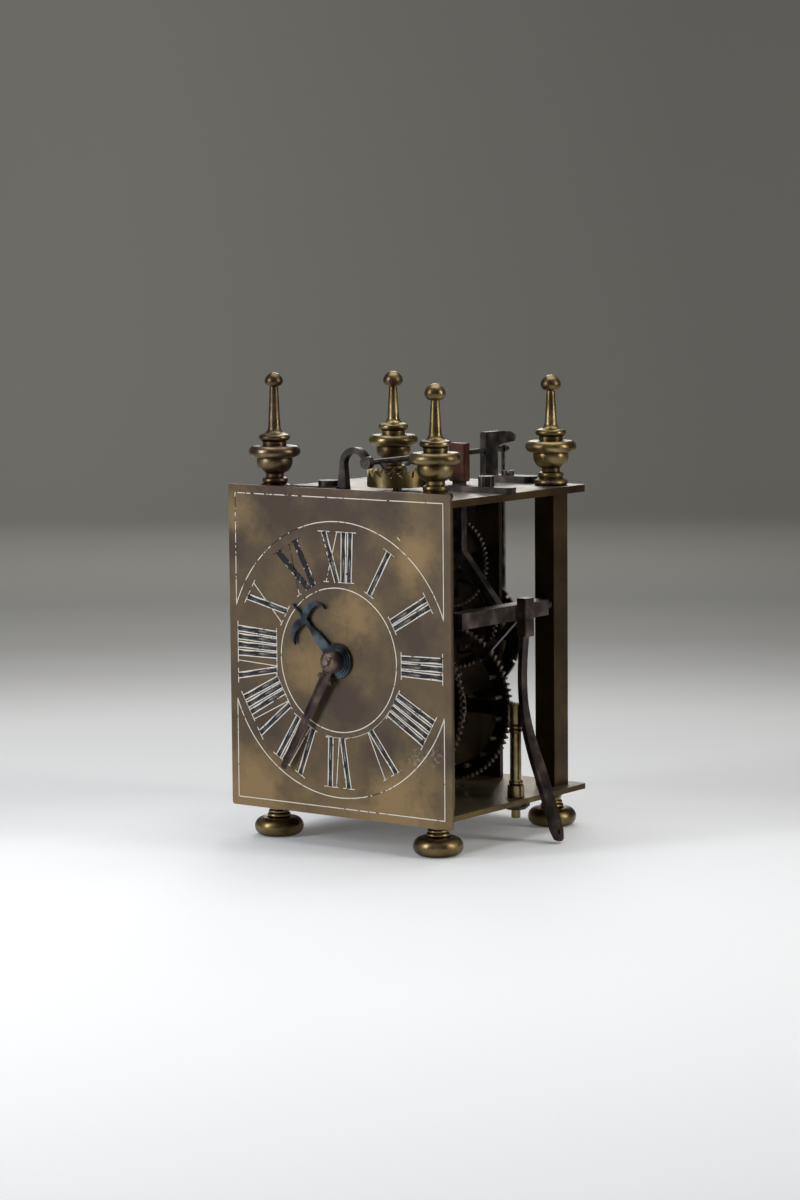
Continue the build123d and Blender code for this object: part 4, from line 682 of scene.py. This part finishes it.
def ring_point(hour, offset_mm, radius_mm):
    """A point on the numeral ring, offset clockwise from the hour. Strokes flare outwards a little."""
    sideways = Vector((math.cos(math.radians(30 * hour)), -math.sin(math.radians(30 * hour))))
    flare = 1 + outward_flare * (radius_mm - numeral_middle) / (numeral_outer - numeral_inner)
    return on_dial(radius_mm, 30 * hour) + sideways * offset_mm * flare * MM


def serif(hour, first, last, radius_mm):
    """A short cut across the ends of the strokes between two offsets."""
    start = ring_point(hour, first - serif_overhang, radius_mm)
    end = ring_point(hour, last + serif_overhang, radius_mm)
    fine_strips.append(strip(start, end, fine_width))


def broad_stroke(hour, inner_offset, outer_offset):
    """A broad stroke from the inner line of the ring to the outer one."""
    start = ring_point(hour, inner_offset, numeral_inner)
    end = ring_point(hour, outer_offset, numeral_outer)
    broad_strips.append(strip(start, end, broad_width, 12))


def fine_stroke(hour, inner_offset, outer_offset):
    """A fine stroke from the inner line of the ring to the outer one."""
    start = ring_point(hour, inner_offset, numeral_inner)
    end = ring_point(hour, outer_offset, numeral_outer)
    fine_strips.append(strip(start, end, fine_width))


def numeral(hour, letters):
    """Cuts one numeral, letter by letter, clockwise from its left edge.

    All the uprights of a numeral share one serif at each end.
    """
    cursor = -sum(letter_width[letter] for letter in letters) / 2
    half_broad = broad_width / 2
    uprights = []
    for letter in letters:
        middle = cursor + letter_width[letter] / 2
        if letter == "I":
            broad_stroke(hour, middle, middle)
            uprights.append(middle)
        if letter == "V":
            head = middle - v_spread
            broad_stroke(hour, middle + v_broad_foot, head)
            fine_stroke(hour, middle + v_fine_foot, middle + v_spread)
            serif(hour, head - half_broad, head + half_broad, numeral_outer)
            serif(hour, middle - half_broad, middle + half_broad, numeral_inner)
        if letter == "X":
            head = middle - x_spread
            broad_stroke(hour, middle + x_foot, head)
            fine_stroke(hour, middle - x_foot, middle + x_spread)
            serif(hour, head - half_broad, head + half_broad, numeral_outer)
            serif(hour, middle - x_foot, middle - x_foot, numeral_inner)
        if letters in ("V", "X"):
            serif(hour, middle + v_spread, middle + v_spread, numeral_outer)
        if letters == "X":
            serif(hour, middle + x_foot - half_broad, middle + x_foot + half_broad, numeral_inner)
        cursor += letter_width[letter]
    if uprights:
        first = uprights[0] - half_broad
        last = uprights[-1] + half_broad
        outer_first = first - serif_reach if letters[0] in "VX" else first
        serif(hour, outer_first, last, numeral_outer)
        serif(hour, first, last, numeral_inner)


for hour, letters in enumerate(numerals):
    numeral(hour, letters)
print("strips:", len(broad_strips), "broad and", len(fine_strips), "fine")

# %% [markdown]
# ## Circles and border
#
# Two circles bound the numeral ring. The outer one is so large that it runs into the border line
# on both sides, and there both stop, which leaves a pointed spandrel in each corner. A circle
# starts as a ring of edges, which is extruded and shrunk to make a band, and the outer one is
# then trimmed by two bisect cuts. Round the lower right a thin guide line for the numerals' feet
# was left in, and near one o'clock the graver once slipped.

# %% Circles and border
outer_radius = 75.0
inner_radius = 39.15
border_inset = 4.7
line_width = 0.5
guide_width = 0.22
guide_angles = range(112, 192, 2)
slip_start = Vector((40.3, 171.6)) * MM
slip_end = Vector((42.2, 169.9)) * MM
slip_width = 0.4
dial_low, dial_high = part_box("dial_plate")
border_right = dial_high.x - border_inset * MM
border_top = dial_high.z - border_inset * MM
border_bottom = dial_low.z + border_inset * MM
meeting_rise = math.sqrt((outer_radius * MM) ** 2 - border_right ** 2)


def ring_line(radius_mm, half_span=None):
    """A thin flat band round the dial's middle, trimmed to half_span metres on each side."""
    outside = radius_mm + line_width / 2
    inside = radius_mm - line_width / 2
    bpy.ops.object.select_all(action="DESELECT")
    bpy.ops.mesh.primitive_circle_add(
        vertices=240,
        radius=outside * MM,
        location=(0, dial_face, dial_middle_height),
        rotation=(math.radians(90), 0, 0),
    )
    bpy.ops.object.transform_apply()
    bpy.ops.object.mode_set(mode="EDIT")
    bpy.ops.mesh.select_all(action="SELECT")
    bpy.ops.mesh.extrude_edges_move()
    bpy.ops.transform.resize(
        value=(inside / outside, 1, inside / outside),
        center_override=(0, dial_face, dial_middle_height),
    )
    if half_span:
        for side in (-1, 1):
            bpy.ops.mesh.select_all(action="SELECT")
            bpy.ops.mesh.bisect(
                plane_co=(side * half_span, 0, 0), plane_no=(side, 0, 0), clear_outer=True,
            )
    bpy.ops.object.mode_set(mode="OBJECT")
    return bpy.context.object


fine_strips.append(ring_line(inner_radius))
fine_strips.append(ring_line(outer_radius, border_right))
for side in (-1, 1):
    for height, meeting in (
        (border_top, dial_middle_height + meeting_rise),
        (border_bottom, dial_middle_height - meeting_rise),
    ):
        corner = Vector((side * border_right, height))
        end = Vector((side * border_right, meeting))
        fine_strips.append(strip(corner, end, line_width, 24))
for height in (border_top, border_bottom):
    start = Vector((-border_right, height))
    end = Vector((border_right, height))
    fine_strips.append(strip(start, end, line_width, 48))
for angle in guide_angles:
    start = on_dial(numeral_inner, angle)
    end = on_dial(numeral_inner, angle + guide_angles.step)
    fine_strips.append(strip(start, end, guide_width))
fine_strips.append(strip(slip_start, slip_end, slip_width))
print("circles meet the border", round(meeting_rise / MM, 1), "mm above and below the middle")

# %% [markdown]
# ## Wax in the cuts
#
# The wax is cream, with gaps where it has fallen out and the dark cut shows. Most of it is gone
# from the eleven, and some from the top left corner and the foot of the outer circle. The wax is
# rough and hardly shines. The broad strokes are outlined in wax, and hatched along their length
# between the outlines. The hatching could be modelled line by line, but its lines are only a
# third of a millimetre apart and broken all along, so the shader draws them. It reads the
# strip's own UV map, whose U runs across the stroke.

# %% Wax finishes
WAX = "#EDE8DC"
CUT = "#1F1F21"
gap_size = 2.4 * MM
bare_share = 0.37
outline_edge = 0.36
hatching = (11, 2.0, 1)  # streaks across a stroke and along it
bare_places = (
    (-58, 186, 20, 55, 0.13), (-25.5, 156, 14, 24, 0.22), (25.6, 32.5, 3, 14, 0.22),
)


def wax_left(tree, place):
    """1 where wax is left in a cut and 0 where it has fallen out.

    A bare place is x, height, the reach that is barest and the reach where that ends, in mm,
    and the share of wax that is lost there on top of the usual.
    """
    bare = bare_share
    for x, height, near, far, more in bare_places:
        point = (x * MM, dial_face, height * MM)
        away = add(tree, "VectorMath", {0: place, 1: point}, out="Value", operation="DISTANCE")
        extra = add(tree, "MapRange", {
            "Value": away, "From Min": near * MM, "From Max": far * MM, "To Min": more, "To Max": 0.0,
        })
        bare = add(tree, "Math", {0: extra, 1: bare}, operation="ADD")
    gaps = add(tree, "TexNoise", {"Vector": place, "Scale": 1 / gap_size, "Detail": 3.0})
    left = add(tree, "Math", {0: gaps, 1: bare}, operation="SUBTRACT")
    return add(tree, "MapRange", {"Value": left, "From Min": -0.06, "From Max": 0.03})


def wax_finish(name, hatched):
    """Cream wax over dark cuts. A hatched stroke has an outline, and streaks along its length."""
    material, tree, place = new_material(name)
    wax = wax_left(tree, place)
    if hatched:
        uv = add(tree, "TexCoord", out="UV")
        across = add(tree, "SeparateXYZ", {"Vector": uv}, out="X")
        from_middle = add(tree, "Math", {0: across, 1: 0.5}, operation="SUBTRACT")
        from_middle = add(tree, "Math", {0: from_middle}, operation="ABSOLUTE")
        outline = add(tree, "Math", {0: from_middle, 1: outline_edge}, operation="GREATER_THAN")
        along = add(tree, "Mapping", {"Vector": uv, "Scale": hatching})
        streaks = add(tree, "TexNoise", {"Vector": along, "Scale": 1.0, "Detail": 3.0})
        streaks = add(tree, "MapRange", {
            "Value": streaks, "From Min": 0.56, "From Max": 0.62, "To Max": 0.7,
        })
        inside = add(tree, "Math", {0: outline, 1: streaks}, operation="MAXIMUM")
        wax = add(tree, "Math", {0: wax, 1: inside}, operation="MULTIPLY")
    fill = add(tree, "ValToRGB", {"Fac": wax}, stops=((0.0, CUT), (1.0, WAX)))
    gloss = add(tree, "MapRange", {"Value": wax, "To Min": 0.6, "To Max": 0.75})
    bump = add(tree, "Bump", {"Height": wax, "Strength": 0.5, "Distance": 0.06 * MM})
    shader = add(tree, "BsdfPrincipled", {
        "Base Color": fill,
        "Roughness": gloss,
        "Specular IOR Level": 0.2,
        "Normal": bump,
    })
    add(tree, "OutputMaterial", {"Surface": shader})
    return material


hatched_wax = wax_finish("wax_in_hatched_cuts", True)
plain_wax = wax_finish("wax_in_fine_cuts", False)
print("made", hatched_wax.name, "and", plain_wax.name)

# %% [markdown]
# Strips that share a finish become one piece. A graver pushed by hand wanders, so Displace
# modifiers with a cloud texture move the strips' points by a few hundredths of a millimetre,
# sideways and up or down. Solidify gives them their thickness. Moving the points one by one
# would do the same, but a modifier says it in two numbers.

# %% Join and thicken the strips
wander_size = 6 * MM
wander_reach = 0.12 * MM


def finish_strips(strips, name, finish):
    """Joins strips, lets their edges wander, and gives them thickness."""
    bpy.ops.object.select_all(action="DESELECT")
    for piece in strips:
        piece.select_set(True)
    bpy.context.view_layer.objects.active = strips[0]
    bpy.ops.object.join()
    joined = bpy.context.object
    joined.name = name
    wander = bpy.data.textures.new(name + "_wander", "CLOUDS")
    wander.noise_scale = wander_size
    for direction in ("X", "Z"):
        shift = joined.modifiers.new("wander_" + direction, "DISPLACE")
        shift.texture = wander
        shift.texture_coords = "LOCAL"
        shift.direction = direction
        shift.strength = wander_reach
        shift.mid_level = 0.5
    thickness = joined.modifiers.new("thickness", "SOLIDIFY")
    thickness.thickness = wax_proud
    thickness.offset = 1
    for modifier in [m.name for m in joined.modifiers]:
        bpy.ops.object.modifier_apply(modifier=modifier)
    joined.data.materials.clear()
    joined.data.materials.append(finish)
    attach(joined, "cage")
    return joined


broad_engraving = finish_strips(broad_strips, "engraved_broad_strokes", hatched_wax)
fine_engraving = finish_strips(fine_strips, "engraved_fine_lines", plain_wax)
for engraving in (broad_engraving, fine_engraving):
    print(engraving.name, "has", len(engraving.data.vertices), "points")
